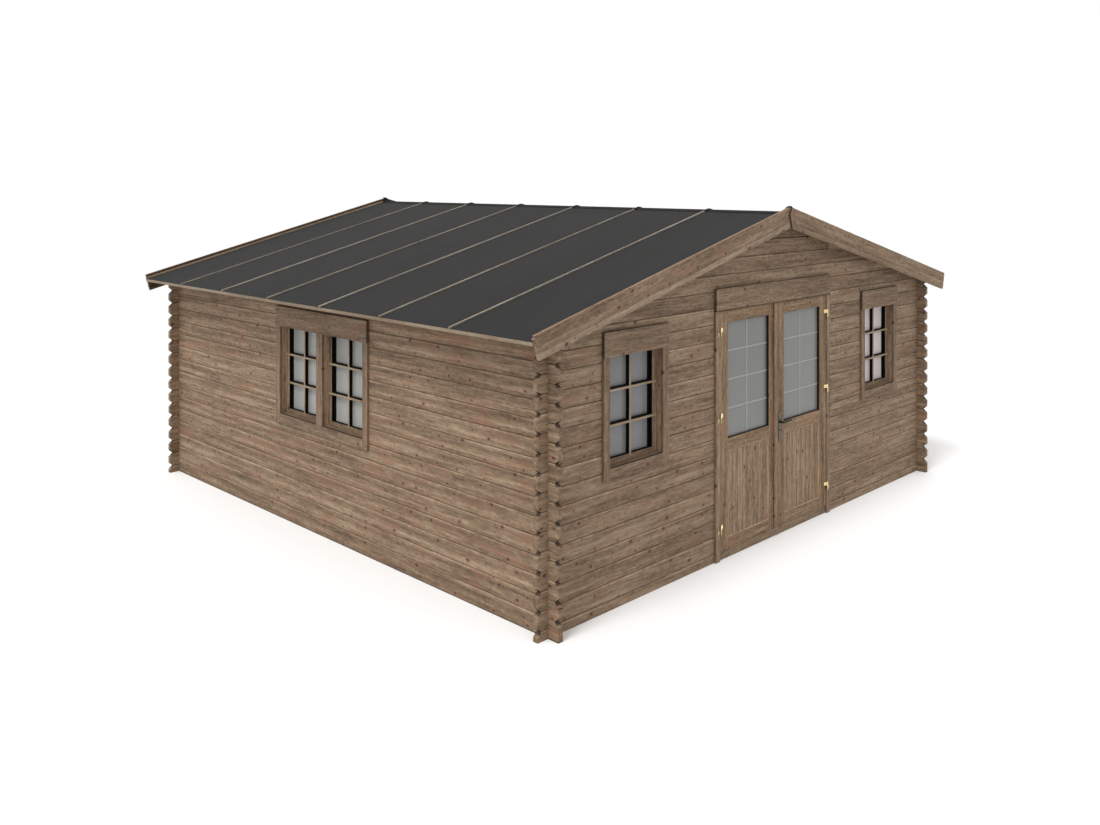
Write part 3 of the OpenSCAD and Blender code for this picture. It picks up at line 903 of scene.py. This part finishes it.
@dataclass(frozen=True)
class Fixing:
    """A small domed head, as on a nail or a screw."""

    radius: float
    height: float
    sides: int = 10

    def heads(self, spots: Sequence[Sequence[float]], axis: np.ndarray) -> list[Shell]:
        """Makes heads.

        Args:
            spots: where they are.
            axis: the direction in which they stand.
        Returns:
            One shell a head.
        """
        angle = np.linspace(0.0, np.pi / 2, 4)
        dome = np.stack([self.radius * np.cos(angle), self.height * np.sin(angle)], axis=1)
        profile = np.concatenate([[[self.radius, -self.height]], dome])
        return [turn(profile, np.asarray(spot, float), axis, self.sides) for spot in spots]


NAIL = Fixing(3.6 * MM, 1.2 * MM)
SCREW = Fixing(3.0 * MM, 1.0 * MM)


def shared(name: str, colour: Colour, *more: float) -> Material:
    """A field of Palette: a plain finish that is built when a palette is made."""
    return field(default_factory=PlainFinish(name, colour, *more).build)


@dataclass(frozen=True)
class Palette:
    """Finishes that several sub-assemblies share."""

    steel: Material = shared("nail_steel", (0.10, 0.085, 0.07), 0.5, 0.7)
    # Black painted shade: cores behind the window bars, linings and strips by the glass, where shade falls.
    painted_shade: Material = shared("painted_shade_black", (0.003, 0.003, 0.003), 0.7, 0.0, 0.15, 0.08)
    # Dark brown painted shade on the sides of the door's pane opening.
    brown_shade: Material = shared("painted_shade_brown", (0.020, 0.014, 0.010), 0.7, 0.0, 0.15, 0.08)
    brass: Material = shared("hinge_brass", (0.92, 0.80, 0.50), 0.2, 1.0, 0.10)
    # A darker copy of the hinge brass: painted shade on the frame's hinge pins and plates.
    shaded_brass: Material = shared("pin_brass_painted_shade", (0.48, 0.39, 0.22), 0.35, 1.0, 0.20)
    iron: Material = shared("handle_iron", (0.012, 0.012, 0.012), 0.45, 0.3, 0.25, 0.3)


@dataclass
class LogWalls:
    """Walls of notched logs: courses lie half a log apart on crossing walls."""

    log_h: float = 135 * MM
    joint: float = 7 * MM
    heart: float = 2828 * MM

    def dress(self) -> None:
        """Grain runs along each wall, and every course is a log of its own."""
        gable = Boards(Axis.X, Axis.Z, self.log_h, self.log_h / 2)
        side = Boards(Axis.Y, Axis.Z, self.log_h)
        # Logs: dark joints with a painted highlight under them, and painted shade in the notches at their
        # ends.
        WoodFinish("gable_logs", gable, seed=3.0, end=Axis.X, heart=self.heart, joint=self.joint,
                   ruddy=0.36).put_on("front_bottom_log", "front_wall_left", "front_wall_right",
                                      "front_gable", "back_wall", "back_gable")
        WoodFinish("side_logs", side, seed=41.0, end=Axis.Y, heart=self.heart, joint=self.joint,
                   streak=0.42, ruddy=0.6).put_on("left_wall", "right_wall")


@dataclass
class Roof:
    """Grooved boards on purlins, felt with battens over its laps, bargeboards and cover plates."""

    palette: Palette
    board_w: float = 96 * MM
    groove: tuple[float, float] = (7 * MM, 4 * MM)
    nail_step: float = 0.52
    barge_w: float = 175 * MM
    barge_nail_reach: float = 2.85
    barge_nail_step: float = 0.95
    barge_nail_lift: float = 45 * MM
    cap_w: float = 76 * MM
    cap_t: float = 2 * MM
    cap_round: float = 5 * MM
    cap_gap: float = 0.4 * MM
    cap_drape: float = 22 * MM
    cap_tail: float = 45 * MM
    cap_rings: int = 600
    cap_points: int = 15
    tip_w: float = 15 * MM
    tip_t: float = 9 * MM
    verge_w: float = 22 * MM
    verge_h: float = 13 * MM
    verge_round: float = 2 * MM
    verge_start: float = 8 * MM

    def __post_init__(self) -> None:
        """Reads the slope's line from the corners of the left-hand boards."""
        corners = node_points("left_roof_boards")
        ridge = corners[corners[:, 0] > corners[:, 0].max() - 2 * MM]
        eave = corners[corners[:, 2].argmin()]
        self.ridge_z = ridge[:, 2].min()
        self.slope = (self.ridge_z - eave[2]) / abs(eave[0])
        self.pitch = math.atan(self.slope)
        self.cos, self.sin = math.cos(self.pitch), math.sin(self.pitch)
        self.deck_t = (ridge[:, 2].max() - self.ridge_z) * self.cos
        self.depth = corners[:, 1].max() * 2
        self.slope_l = abs(eave[0]) / self.cos
        self.felt_off = self._top_off("left_felt")
        self.batten_off = self._top_off("left_felt_battens")
        self.rows = np.unique(node_points("left_felt_battens")[:, 1].round(5)).reshape(-1, 2)

    def _top_off(self, node: str) -> float:
        """How far the top of a layer lies off the boards' underside."""
        return float(node_box(node)[1, 2] - self.ridge_z) * self.cos

    def on_slope(self, side: Side, down: float, y: float, off: float) -> np.ndarray:
        """A point on or over the roof's boards.

        Args:
            side: the half of the roof.
            down: how far down the slope from the ridge.
            y: how far back.
            off: how far off the boards' underside.
        Returns:
            The point.
        """
        run = down * self.cos + off * self.sin
        height = self.ridge_z - down * self.sin + off * self.cos
        return np.array([side.value * run, y, height])

    def run_down(self, profile: np.ndarray, side: Side, start: float, y: float, off: float) -> Shell:
        """A profile carried down the slope.

        Args:
            profile: points (back, off the slope).
            side: the half of the roof.
            start: how far from the ridge it starts; it ends at the eave.
            y: how far back.
            off: how far off the boards' underside.
        Returns:
            The shell.
        """
        ends = (self.on_slope(side, down, y, off) for down in (start, self.slope_l))
        return carry(profile, *ends, ALONG_Y, self.up(side))

    def up(self, side: Side) -> np.ndarray:
        """The direction off the slope."""
        return np.array([side.value * self.sin, 0.0, self.cos])

    def build(self) -> None:
        """Makes the boards, ridge cap, verge strips and nails, and dresses the roof's nodes."""
        self._boards()
        self._cap()
        self._verge_strips()
        self._dress()
        self._nails()

    def _boards(self) -> None:
        """Boards that run from ridge to eave, with grooves on their underside."""
        count = round(self.depth / self.board_w)
        half = self.depth / 2
        profile = grooved(-half, half, count, self.deck_t, self.groove)
        wood = WoodFinish("roof_board_pine", Boards(Axis.X, Axis.Y, self.depth / count, -half), CLEAN,
                          seed=7.0, knot_gap=(0.42, 0.096)).build()
        for side in Side:
            name = side.name.lower()
            make_piece(f"{name}_ceiling_boards", [self.run_down(profile, side, 0.3 * MM, 0.0, 0.0)], wood,
                       CABIN, (f"{name}_roof_boards",))

    def _cap(self) -> None:
        """A strip of felt over the ridge, draped over the battens and the bargeboards.

        Height at (u, y) = ridge - slope sqrt(u^2 + r^2) + off(y) / cos(pitch): off rises smoothly from the
        felt to the battens' tops where y comes near a batten, and to the bargeboards' top at both ends.
        There the strip narrows and is folded into a thick tip.
        """
        barge = node_box("front_bargeboards")
        barge_off = (barge[1, 2] - self.ridge_z) * self.cos
        end = abs(barge[0, 1]) - 1 * MM
        y = np.linspace(-end, end, self.cap_rings)
        near = np.abs(y[:, None] - self.rows.mean(axis=1)[None]).min(axis=1)
        half = (self.rows[0, 1] - self.rows[0, 0]) / 2
        share = smooth((half + self.cap_drape - near) / self.cap_drape)
        tail = smooth((np.abs(y) - abs(barge[1, 1]) + self.cap_tail) / self.cap_tail)
        off = self.felt_off + (self.batten_off - self.felt_off) * share
        off = off + (barge_off - self.felt_off) * tail + self.cap_gap
        width = self.cap_w + (self.tip_w - self.cap_w) * tail
        thick = self.cap_t + (self.tip_t - self.cap_t) * tail
        flat = width[:, None] * np.linspace(-1.0, 1.0, self.cap_points)[None]
        line = self.ridge_z - self.slope * np.sqrt(flat * flat + self.cap_round ** 2)
        under = line + off[:, None] / self.cos + self.slope * self.cap_round
        deep = np.broadcast_to(y[:, None], under.shape)
        top = np.stack([flat, deep, under + thick[:, None]], axis=2)
        rings = np.concatenate([top, np.stack([flat, deep, under], axis=2)[:, ::-1]], axis=1)
        felt = FeltFinish("ridge_felt", self.depth, (0.0060, 0.0059, 0.0058)).build()
        make_piece("ridge_cap", [band(rings, closed=False)], felt, CABIN)

    def _verge_strips(self) -> None:
        """Strips that hold the felt's edge against the bargeboards, from the ridge to the eaves."""
        profile = rounded_bar(self.verge_w, self.verge_h, self.verge_round) * (1, -1) + (0, self.verge_h)
        inner = node_box("back_bargeboards")[0, 1] - self.verge_w / 2 - HAIR
        shells = [self.run_down(profile, side, self.verge_start, y, self.felt_off + HAIR)
                  for side in Side for y in (-inner, inner)]
        wood = WoodFinish("verge_strip_wood", Sloping(self.slope, self.depth), SANDY, seed=27.0, lift=0.85,
                          knot_size=0.4)
        make_piece("verge_strips", shells, wood.build(), CABIN)

    def _dress(self) -> None:
        """Finishes of the purlins, felt, battens, laths, bargeboards and apex plates."""
        strip = self.depth / (len(self.rows) + 1)
        low_edge = float(node_box("front_bargeboards")[1, 2]) - self.barge_w / self.cos
        WoodFinish("purlin_pine", Boards(Axis.Y, Axis.X, 0.5), CLEAN, seed=19.0).put_on(
            "ridge_purlin", "side_purlins")
        FeltFinish("roof_felt", strip).put_on("left_felt", "right_felt")
        WoodFinish("batten_wood", Sloping(self.slope, strip), PALE, seed=23.0, lift=0.80,
                   knot_size=0.4).put_on("left_felt_battens", "right_felt_battens")
        WoodFinish("eave_lath_wood", Boards(Axis.Y, Axis.X, 1.0), SANDY, seed=29.0, lift=0.72,
                   knot_size=0.4).put_on("eave_laths")
        # Bargeboards: a pale lower band, and painted shade on their inner faces.
        WoodFinish("bargeboard_wood", Sloping(self.slope, 1.0), seed=31.0, verge=low_edge).put_on(
            "front_bargeboards", "back_bargeboards")
        # Apex plates: painted shade on their side faces.
        WoodFinish("apex_plate_wood", Boards(Axis.Z, Axis.X, 1.0), seed=37.0, lift=0.95, face=Axis.Y,
                   edge_shade=0.2, head_shade=0.2).put_on("apex_plates")

    def _nails(self) -> None:
        """Nails along the battens and in pairs up the bargeboards."""
        steps = np.arange(self.nail_step / 2, self.slope_l, self.nail_step)
        shells: list[Shell] = []
        for side in Side:
            spots = [self.on_slope(side, down, y, self.batten_off)
                     for y in self.rows.mean(axis=1) for down in steps]
            shells += NAIL.heads(spots, self.up(side))
        make_piece("batten_nails", shells, self.palette.steel, CABIN)
        shells = []
        columns = np.arange(-self.barge_nail_reach, self.barge_nail_reach + 50 * MM, self.barge_nail_step)
        for node, end, out in (("front_bargeboards", 0, -ALONG_Y), ("back_bargeboards", 1, ALONG_Y)):
            box = node_box(node)
            middle = box[1, 2] - self.barge_w / 2 / self.cos
            spots = [(x, box[end, 1], middle - abs(x) * self.slope + lift)
                     for x in columns if abs(x) > self.barge_nail_step / 2
                     for lift in (-self.barge_nail_lift, self.barge_nail_lift)]
            shells += NAIL.heads(spots, out)
        make_piece("bargeboard_nails", shells, self.palette.steel, CABIN)


@dataclass
class FloorDeck:
    """Boards on bearers."""

    board_w: float = 116 * MM
    groove: tuple[float, float] = (3 * MM, 3 * MM)

    def build(self) -> None:
        """Makes grooved boards that lie across the bearers, and dresses the bearers."""
        low, high = node_box("floor_boards")
        count = round((high[0] - low[0]) / self.board_w)
        profile = grooved(low[0], high[0], count, high[2] - low[2], self.groove)
        start, end = np.array([0.0, low[1], high[2]]), np.array([0.0, high[1], high[2]])
        grain = Boards(Axis.Y, Axis.X, (high[0] - low[0]) / count, low[0])
        wood = WoodFinish("floor_pine", grain, CLEAN, seed=43.0, knot_gap=(0.5, 0.116)).build()
        make_piece("floor_planks", [carry(profile, start, end, ALONG_X, -ALONG_Z)], wood, CABIN,
                   ("floor_boards",))
        WoodFinish("bearer_pine", Boards(Axis.X, Axis.Y, 0.5), CLEAN, seed=47.0).put_on("floor_bearers")


@dataclass
class Window:
    """A window in a wall: bars on the sash, black painted shade by the glass, and nails in its trim."""

    palette: Palette
    name: str
    across: Axis
    twin: bool = False
    counts: tuple[int, int] = (2, 3)
    # The pane's colour is a painted reflection of the sky.
    pane: Colour = (0.200, 0.200, 0.200)
    # Painted light on the frame: levels for its side faces (reveal) and its top faces (sill).
    reveal: float = 1.2
    sill: float = 1.25
    frame_w: float = 40 * MM
    post_half: float = 60 * MM
    bar_w: float = 18 * MM
    bar_t: float = 5 * MM
    bar_round: float = 3 * MM
    bar_drop: float = 18 * MM
    bar_proud: float = 0.4 * MM
    # Painted shade: black cores behind the bars, a black lining on the sash's inner sides and black strips
    # on the glass at each upright side.
    core_w: float = 18 * MM
    core_lift: float = 9 * MM
    shade_lining_t: float = 1.5 * MM
    shade_lining_setback: float = 1 * MM
    shade_strip_w: float = 24 * MM
    shade_strip_t: float = 3 * MM
    nail_inset: float = 32 * MM
    nail_foot: float = 40 * MM
    nail_drop: float = 60 * MM
    head_nail: float = 45 * MM

    def __post_init__(self) -> None:
        """Reads the panes, the sash's planes and the trim's levels from the frame."""
        self.wide, self.deep = self.across.value, self.across.crossing.value
        self.sash_node = f"{self.name}_sash" + ("es" if self.twin else "")
        glass = node_points(f"{self.name}_glass")
        low, high = glass.min(axis=0), glass.max(axis=0)
        edges = np.unique(glass[:, self.wide].round(5))
        spans = [edges[:2], edges[2:4]] if self.twin else [edges[[0, -1]]]
        self.panes = []
        for span in spans:
            pane = np.stack([low, high])
            pane[:, self.wide] = span
            self.panes.append(pane)
        self.sash = node_box(self.sash_node)
        self.front = self.sash[0, self.deep]
        self.glass_front = low[self.deep]
        self.spread = float(abs(self.panes[0][:, self.wide].mean() - self.sash[:, self.wide].mean()))
        self.trim = node_points(f"{self.name}_trim")
        self.levels = np.unique(self.trim[:, 2].round(4))

    def build(self) -> None:
        """Makes the bars, the black painted shade and the nails, and dresses the window's nodes."""
        self._bars()
        self._shade_linings()
        self._dress()
        self._nails()

    def _frame_grain(self, node: str, inner: float, **more: float) -> Framed:
        """Grain of a framed node round its own middle."""
        return Framed(self.across, float(node_box(node)[:, self.wide].mean()), inner, **more)

    def _bars(self) -> None:
        """Wooden bars on the sash, each with a black core behind it that reaches the glass: painted shade on
        the bars' sides.
        """
        lap = self.panes[0][0][self.wide] - self.sash[0, self.wide] - 1 * MM
        bar = rounded_bar(self.bar_w, self.bar_t, self.bar_round)
        core = rounded_bar(self.core_w, self.glass_front - self.front - HAIR, 1 * MM)
        wood, black = [], []
        for low, high in self.panes:
            wood += bar_grid(low, high, self.across, self.counts, bar, self.front - self.bar_t,
                             self.bar_proud, lap, -self.bar_drop)
            black += bar_grid(low, high, self.across, self.counts, core, self.front,
                              self.bar_proud, -1 * MM, self.core_lift - self.bar_drop)
        grain = self._frame_grain(f"{self.name}_glass", FAR, spread=self.spread, post=self.bar_w * 0.6)
        finish = WoodFinish(f"{self.name}_bar_wood", grain, SANDY, seed=53.0, lift=0.9, knot_size=0.35)
        make_piece(f"{self.name}_bars", wood, finish.build(), CABIN)
        make_piece(f"{self.name}_bar_cores", black, self.palette.painted_shade, CABIN)

    def _shade_linings(self) -> None:
        """Painted shade: a black lining on the sash's inner sides, with a black strip on the glass at each
        upright side.
        """
        half = self.shade_strip_w / 2
        shade_strip = rectangle((-half, 0.0), (half, self.shade_strip_t))
        lining = rectangle((-HAIR, self.shade_lining_setback), (self.shade_lining_t, self.glass_front - self.front))
        shells = []
        for low, high in self.panes:
            start = low.copy()
            start[self.deep] = self.front
            shells.append(carry_round(lining, start, high, self.across))
            for wide in (low[self.wide] + half, high[self.wide] - half):
                foot, head = low.copy(), high.copy()
                foot[self.wide] = head[self.wide] = wide
                foot[self.deep] = head[self.deep] = self.glass_front - self.shade_strip_t
                shells.append(carry(shade_strip, foot, head, UNIT[self.wide], UNIT[self.deep]))
        make_piece(f"{self.name}_shade_linings", shells, self.palette.painted_shade, CABIN)

    def _dress(self) -> None:
        """Finishes of the frame, sash, trim and glass."""
        name, face = self.name, self.across.crossing
        half = np.ptp(self.panes[0][:, self.wide]) / 2
        reach = float(np.ptp(node_box(f"{name}_frame")[:, self.wide])) / 2 - self.frame_w
        post = self.post_half if self.twin else 0.0
        grain = self._frame_grain(f"{name}_frame", reach, post=post)
        # Frame: painted light on its side and top faces.
        WoodFinish(f"{name}_frame_wood", grain, seed=59.0, lift=0.95, face=face, edge_shade=self.reveal,
                   top_shade=self.sill).put_on(f"{name}_frame")
        grain = self._frame_grain(self.sash_node, half, spread=self.spread)
        # Sash: painted shade on its side and top faces.
        WoodFinish(f"{name}_sash_wood", grain, seed=61.0, lift=0.9, face=face, edge_shade=0.9,
                   top_shade=0.9).put_on(self.sash_node)
        grain = self._frame_grain(f"{name}_trim", reach - 1 * MM, post=post, foot=float(self.levels[1]),
                                  top=float(self.levels[-2]))
        # Trim: painted shade on its side faces, on the header's ends and on its top faces.
        WoodFinish(f"{name}_trim_wood", grain, seed=67.0, lift=0.88, face=face, edge_shade=0.95,
                   top_shade=0.22, head_shade=0.4).put_on(f"{name}_trim")
        GlassFinish(f"{name}_pane", self.pane).put_on(f"{name}_glass")

    def _nails(self) -> None:
        """Nails near the ends of the trim's boards."""
        low, high = self.trim.min(axis=0), self.trim.max(axis=0)
        header, boards = np.unique(self.trim[:, self.deep].round(4))[:2]
        head_z = self.levels[-2]
        spots = []
        for wide in (low[self.wide] + self.nail_inset, high[self.wide] - self.nail_inset):
            for height, plane in ((low[2] + self.nail_foot, boards), (head_z - self.nail_drop, boards),
                                  (head_z + self.head_nail, header), (high[2] - self.head_nail, header)):
                spots.append(wide * UNIT[self.wide] + plane * UNIT[self.deep] + height * ALONG_Z)
        make_piece(f"{self.name}_nails", NAIL.heads(spots, -UNIT[self.deep]), self.palette.steel, CABIN)


@dataclass
class Doorway:
    """The door frame and its trim."""

    palette: Palette

    def dress(self) -> None:
        """Grain stands in the jambs and the trim's sides and lies in the rest."""
        WoodFinish("jamb_wood", Boards(Axis.Z, Axis.X, 2.0), seed=71.0, lift=0.85).put_on("door_jambs")
        WoodFinish("door_head_wood", Boards(Axis.X, Axis.Z, 2.0), seed=73.0, lift=0.85).put_on(
            "door_head", "door_threshold")
        points = node_points("door_trim")
        head_z = float(np.unique(points[:, 2].round(4))[-2])
        grain = Framed(Axis.X, 0.0, float(np.abs(points[:, 0]).min()) - 2 * MM, top=head_z)
        # Door trim: painted shade on its sides and on the header's ends and top, and a painted shadow along
        # the header's lower edge.
        WoodFinish("door_trim_wood", grain, seed=79.0, face=Axis.Y, edge_shade=0.85, top_shade=0.22,
                   head_shade=0.4, head_shadow_at=head_z).put_on("door_trim")
        # The frame's hinge halves take the darker brass: painted shade.
        dress(self.palette.shaded_brass, "hinge_pins")


@dataclass
class DoorLeaf:
    """A leaf: framed, with upright boards below the lock rail and a barred pane above it."""

    palette: Palette
    side: Side
    board_count: int = 8
    groove: tuple[float, float] = (12 * MM, 6 * MM)
    board_joint: float = 2.5 * MM
    bead_w: float = 13 * MM
    bead_setback: float = 2.5 * MM
    pane_bar_w: float = 17 * MM
    pane_bar_proud: float = 2.5 * MM
    pane_counts: tuple[int, int] = (2, 4)
    # The pane's colour is a painted reflection of the sky.
    pane: Colour = (0.205, 0.205, 0.200)
    shade_lining_t: float = 1.5 * MM
    shade_lining_setback: float = 5 * MM
    plate_t: float = 3.3 * MM
    screw_inset: float = 9 * MM
    screw_lifts: tuple[float, float] = (9 * MM, 27 * MM)
    hinge_gap: float = 0.2

    def __post_init__(self) -> None:
        """Reads the leaf's planes and fields from the frame."""
        self.name = f"{self.side.name.lower()}_leaf"
        self.front = node_box("right_leaf_frame")[0, 1]
        self.panel = node_box(f"{self.name}_panel")
        self.glass = node_box(f"{self.name}_glass")

    def build(self) -> None:
        """Makes the boards, beads, bars and the painted shade round the pane, and dresses the leaf's nodes.
        """
        self._boards()
        self._pane()
        self._dress()
        self._screws()

    def _round(self, profile: np.ndarray, box: np.ndarray) -> Shell:
        """A profile carried round a field, from the leaf's front inwards."""
        return carry_round(profile, np.array([box[0, 0], self.front, box[0, 2]]), box[1], Axis.X)

    def _boards(self) -> None:
        """Boards with a V at each joint on both faces, and a bead round them."""
        low, high = self.panel
        width = high[0] - low[0]
        half = (high[1] - low[1]) / 2
        front = grooved(low[0], high[0], self.board_count, half, self.groove)
        back = front[::-1] * (1.0, -1.0) + (0.0, 2 * half)
        start, end = np.array([0.0, low[1], low[2]]), np.array([0.0, low[1], high[2]])
        grain = Boards(Axis.Z, Axis.X, width / self.board_count, float(low[0]))
        # Boards: a dark line on one side of each V joint and a painted highlight on the other.
        wood = WoodFinish(f"{self.name}_board_wood", grain, seed=83.0 + self.side.value, lift=1.17,
                          joint=self.board_joint, knot_gap=(0.2, 0.0775)).build()
        shells = [carry(profile, start, end, ALONG_X, ALONG_Y) for profile in (front, back)]
        make_piece(f"{self.name}_boards", shells, wood, self.name, (f"{self.name}_panel",))
        depth = low[1] - self.front
        bead = np.array([[0.0, self.bead_setback], [self.bead_w * 0.45, self.bead_setback],
                         [self.bead_w, depth * 0.75], [self.bead_w, depth], [0.0, depth]])
        grain = Framed(Axis.X, float((low[0] + high[0]) / 2), float(width / 2) - self.bead_w)
        finish = WoodFinish(f"{self.name}_bead_wood", grain, seed=89.0, lift=1.5, knot_size=0.35)
        make_piece(f"{self.name}_beads", [self._round(bead, self.panel)], finish.build(), self.name)

    def _pane(self) -> None:
        """Pale bars through the pane and a dark brown lining of painted shade on the sides of its opening.
        """
        low, high = self.glass
        bar = rounded_bar(self.pane_bar_w, high[1] - low[1] + 2 * self.pane_bar_proud, 1 * MM)
        bars = bar_grid(low, high, Axis.X, self.pane_counts, bar, low[1] - self.pane_bar_proud, 0.3 * MM)
        pale = PlainFinish(f"{self.name}_pane_bar", (0.30, 0.30, 0.295), 0.4, wear=0.08).build()
        make_piece(f"{self.name}_pane_bars", bars, pale, self.name)
        painted_shade = rectangle((-HAIR, self.shade_lining_setback), (self.shade_lining_t, low[1] - self.front))
        make_piece(f"{self.name}_shade_linings", [self._round(painted_shade, self.glass)], self.palette.brown_shade, self.name)

    def _dress(self) -> None:
        """Finishes of the leaf's frame, glass and hinges."""
        low, high = self.glass[:, 0]
        grain = Framed(Axis.X, float((low + high) / 2), float(high - low) / 2)
        # Leaf frame: painted shade on its side and top faces.
        WoodFinish(f"{self.name}_wood", grain, WARM, seed=97.0 + self.side.value, lift=1.03, face=Axis.Y,
                   edge_shade=0.75, top_shade=0.75).put_on(f"{self.name}_frame")
        GlassFinish(f"{self.name}_pane", self.pane).put_on(f"{self.name}_glass")
        dress(self.palette.brass, f"{self.name}_hinges")

    def _screws(self) -> None:
        """Two screws in each hinge's plate."""
        points = node_points(f"{self.name}_hinges")
        heights = np.sort(points[:, 2])
        groups = np.split(heights, np.flatnonzero(np.diff(heights) > self.hinge_gap) + 1)
        plate = points[:, 0].min() if self.side is Side.RIGHT else points[:, 0].max()
        x = plate + self.side.value * self.screw_inset
        spots = [(x, self.front - self.plate_t, float(group.min()) + lift)
                 for group in groups for lift in self.screw_lifts]
        make_piece(f"{self.name}_hinge_screws", SCREW.heads(spots, -ALONG_Y), self.palette.brass,
                   self.name)


@dataclass
class Handle:
    """Long plates with a lever above a lock cylinder."""

    palette: Palette
    lock_drop: float = 72 * MM
    lock_sides: int = 20
    rose_r: float = 13 * MM
    rose_bore: float = 9.2 * MM
    rose_sides: int = 24
    screw_inset: float = 16 * MM

    def build(self) -> None:
        """Makes the roses, lock cylinders and screws, and dresses the plates and the lever."""
        dress(self.palette.iron, "door_lever")
        PlainFinish("handle_steel", (0.11, 0.105, 0.095), 0.45, 0.6, 0.25).put_on("handle_plates")
        low, high = node_box("handle_plates")
        x = (low[0] + high[0]) / 2
        z = node_box("door_lever")[:, 2].mean()
        outer, bore = self.rose_r / MM, self.rose_bore / MM
        rose = MM * np.array([[outer, -1], [outer, 3], [outer - 2.5, 5], [bore, 5], [bore, -1]])
        lock = MM * np.array([[8.5, -1], [8.5, 3], [7, 4], [2.2, 4], [1.6, 1], [0.0, 1]])
        shells = []
        for y, axis in ((low[1], -ALONG_Y), (high[1], ALONG_Y)):
            shells.append(turn(lock, np.array([x, y, z - self.lock_drop]), axis, self.lock_sides))
            shells.append(turn(rose, np.array([x, y, z]), axis, self.rose_sides, hole=True))
            ends = (high[2] - self.screw_inset, low[2] + self.screw_inset)
            shells += SCREW.heads([(x, y, end) for end in ends], axis)
        make_piece("handle_fittings", shells, self.palette.iron, "right_leaf")


@dataclass
class Studio:
    """A white floor, soft light from above and the left, and a level camera with a shifted lens."""

    eye: tuple[float, float, float] = (-7.7456, -7.7508, 3.1609)
    yaw_deg: float = -45.086
    lens: float = 32.97
    sensor_w: float = 36.0
    shift_y: float = -0.212
    view_end: float = 500.0
    floor_half: float = 60.0
    floor_tone: float = 0.74
    floor_seen: float = 0.97
    white_from: float = 4.8
    white_at: float = 8.0
    sky_top: float = 1.05
    sky_low: float = 0.62
    sun_level: float = 1.65
    sun_from: tuple[float, float, float] = (-1.0, -0.14, 1.65)
    sun_spread_deg: float = 20.0

    def build(self) -> None:
        """Makes the camera, the world, the sun and the floor."""
        bpy.context.scene.view_settings.view_transform = "Standard"
        self._camera()
        self._world()
        self._sun()
        self._floor()

    def _camera(self) -> None:
        """A level camera, so that upright edges stay upright."""
        data = bpy.data.cameras.new("camera")
        data.lens = self.lens
        data.sensor_width = self.sensor_w
        data.sensor_fit = "HORIZONTAL"
        data.shift_y = self.shift_y
        data.clip_end = self.view_end
        camera = add_object("camera", data)
        camera.location = self.eye
        camera.rotation_euler = (math.radians(90.0), 0.0, math.radians(self.yaw_deg))
        bpy.context.scene.camera = camera

    def _world(self) -> None:
        """Sky that is brighter above for the light, and white where it is seen or mirrored."""
        world = bpy.data.worlds.new("studio")
        graph = Graph(world)
        _, _, height = graph.parts(graph.val("TexCoord", output="Generated"))
        sockets = {"Value": height, "To Min": self.sky_low, "To Max": self.sky_top}
        level = graph.val("MapRange", None, sockets, "Result")
        sky, white = (graph.node("Background", None, {"Color": WHITE, "Strength": strength}).outputs[0]
                      for strength in (level, 1.0))
        both = graph.node("MixShader", None, {0: graph.seen(), 1: sky, 2: white})
        graph.node("OutputWorld", None, {"Surface": both.outputs[0]})
        bpy.context.scene.world = world

    def _sun(self) -> None:
        """A wide soft sun from the left and the front."""
        data = bpy.data.lights.new("soft_sun", "SUN")
        data.energy = self.sun_level
        data.angle = math.radians(self.sun_spread_deg)
        x, y, z = self.sun_from
        add_object("soft_sun", data).rotation_euler = (math.atan2(math.hypot(x, y), z), 0.0,
                                                       math.atan2(x, -y))

    def _floor(self) -> None:
        """A pale floor that is white far from the cabin and keeps its shadow near it."""
        half = self.floor_half
        corners = [(x * half, y * half, -1 * MM) for x, y in ((-1, -1), (1, -1), (1, 1), (-1, 1))]
        mesh = bpy.data.meshes.new("floor")
        mesh.from_pydata(corners, [], [(0, 1, 2, 3)])
        graph = Graph.of_material("studio_floor")
        x, y, _ = graph.place()
        far = (x * x + y * y).root().rise(self.white_from, self.white_at)
        dull, pale = (graph.node("BsdfDiffuse", None, {"Color": (tone,) * 3}).outputs[0]
                      for tone in (self.floor_tone, self.floor_seen))
        white = graph.node("Emission", None, {"Color": WHITE, "Strength": 1.0})
        near = graph.node("MixShader", None, {0: far, 1: pale, 2: white.outputs[0]})
        both = graph.node("MixShader", None, {0: graph.seen(), 1: dull, 2: near.outputs[0]})
        graph.node("OutputMaterial", None, {"Surface": both.outputs[0]})
        mesh.materials.append(graph.owner)
        floor = add_object("floor", mesh)


def main() -> None:
    """Builds the studio and every sub-assembly."""
    logging.basicConfig(level=logging.INFO, format="%(message)s")
    Studio().build()
    palette = Palette()
    LogWalls().dress()
    Roof(palette).build()
    FloorDeck().build()
    Doorway(palette).dress()
    for side in Side:
        DoorLeaf(palette, side).build()
    Handle(palette).build()
    Window(palette, "front_left_window", Axis.X).build()
    # Pane colours are painted reflections of the sky: pale pink-white on the right, lighter grey at the
    # side.
    Window(palette, "front_right_window", Axis.X, pane=(0.66, 0.58, 0.58)).build()
    Window(palette, "side_window", Axis.Y, twin=True, pane=(0.32, 0.32, 0.305), reveal=1.6, sill=1.1).build()


if __name__ == "__main__":
    main()
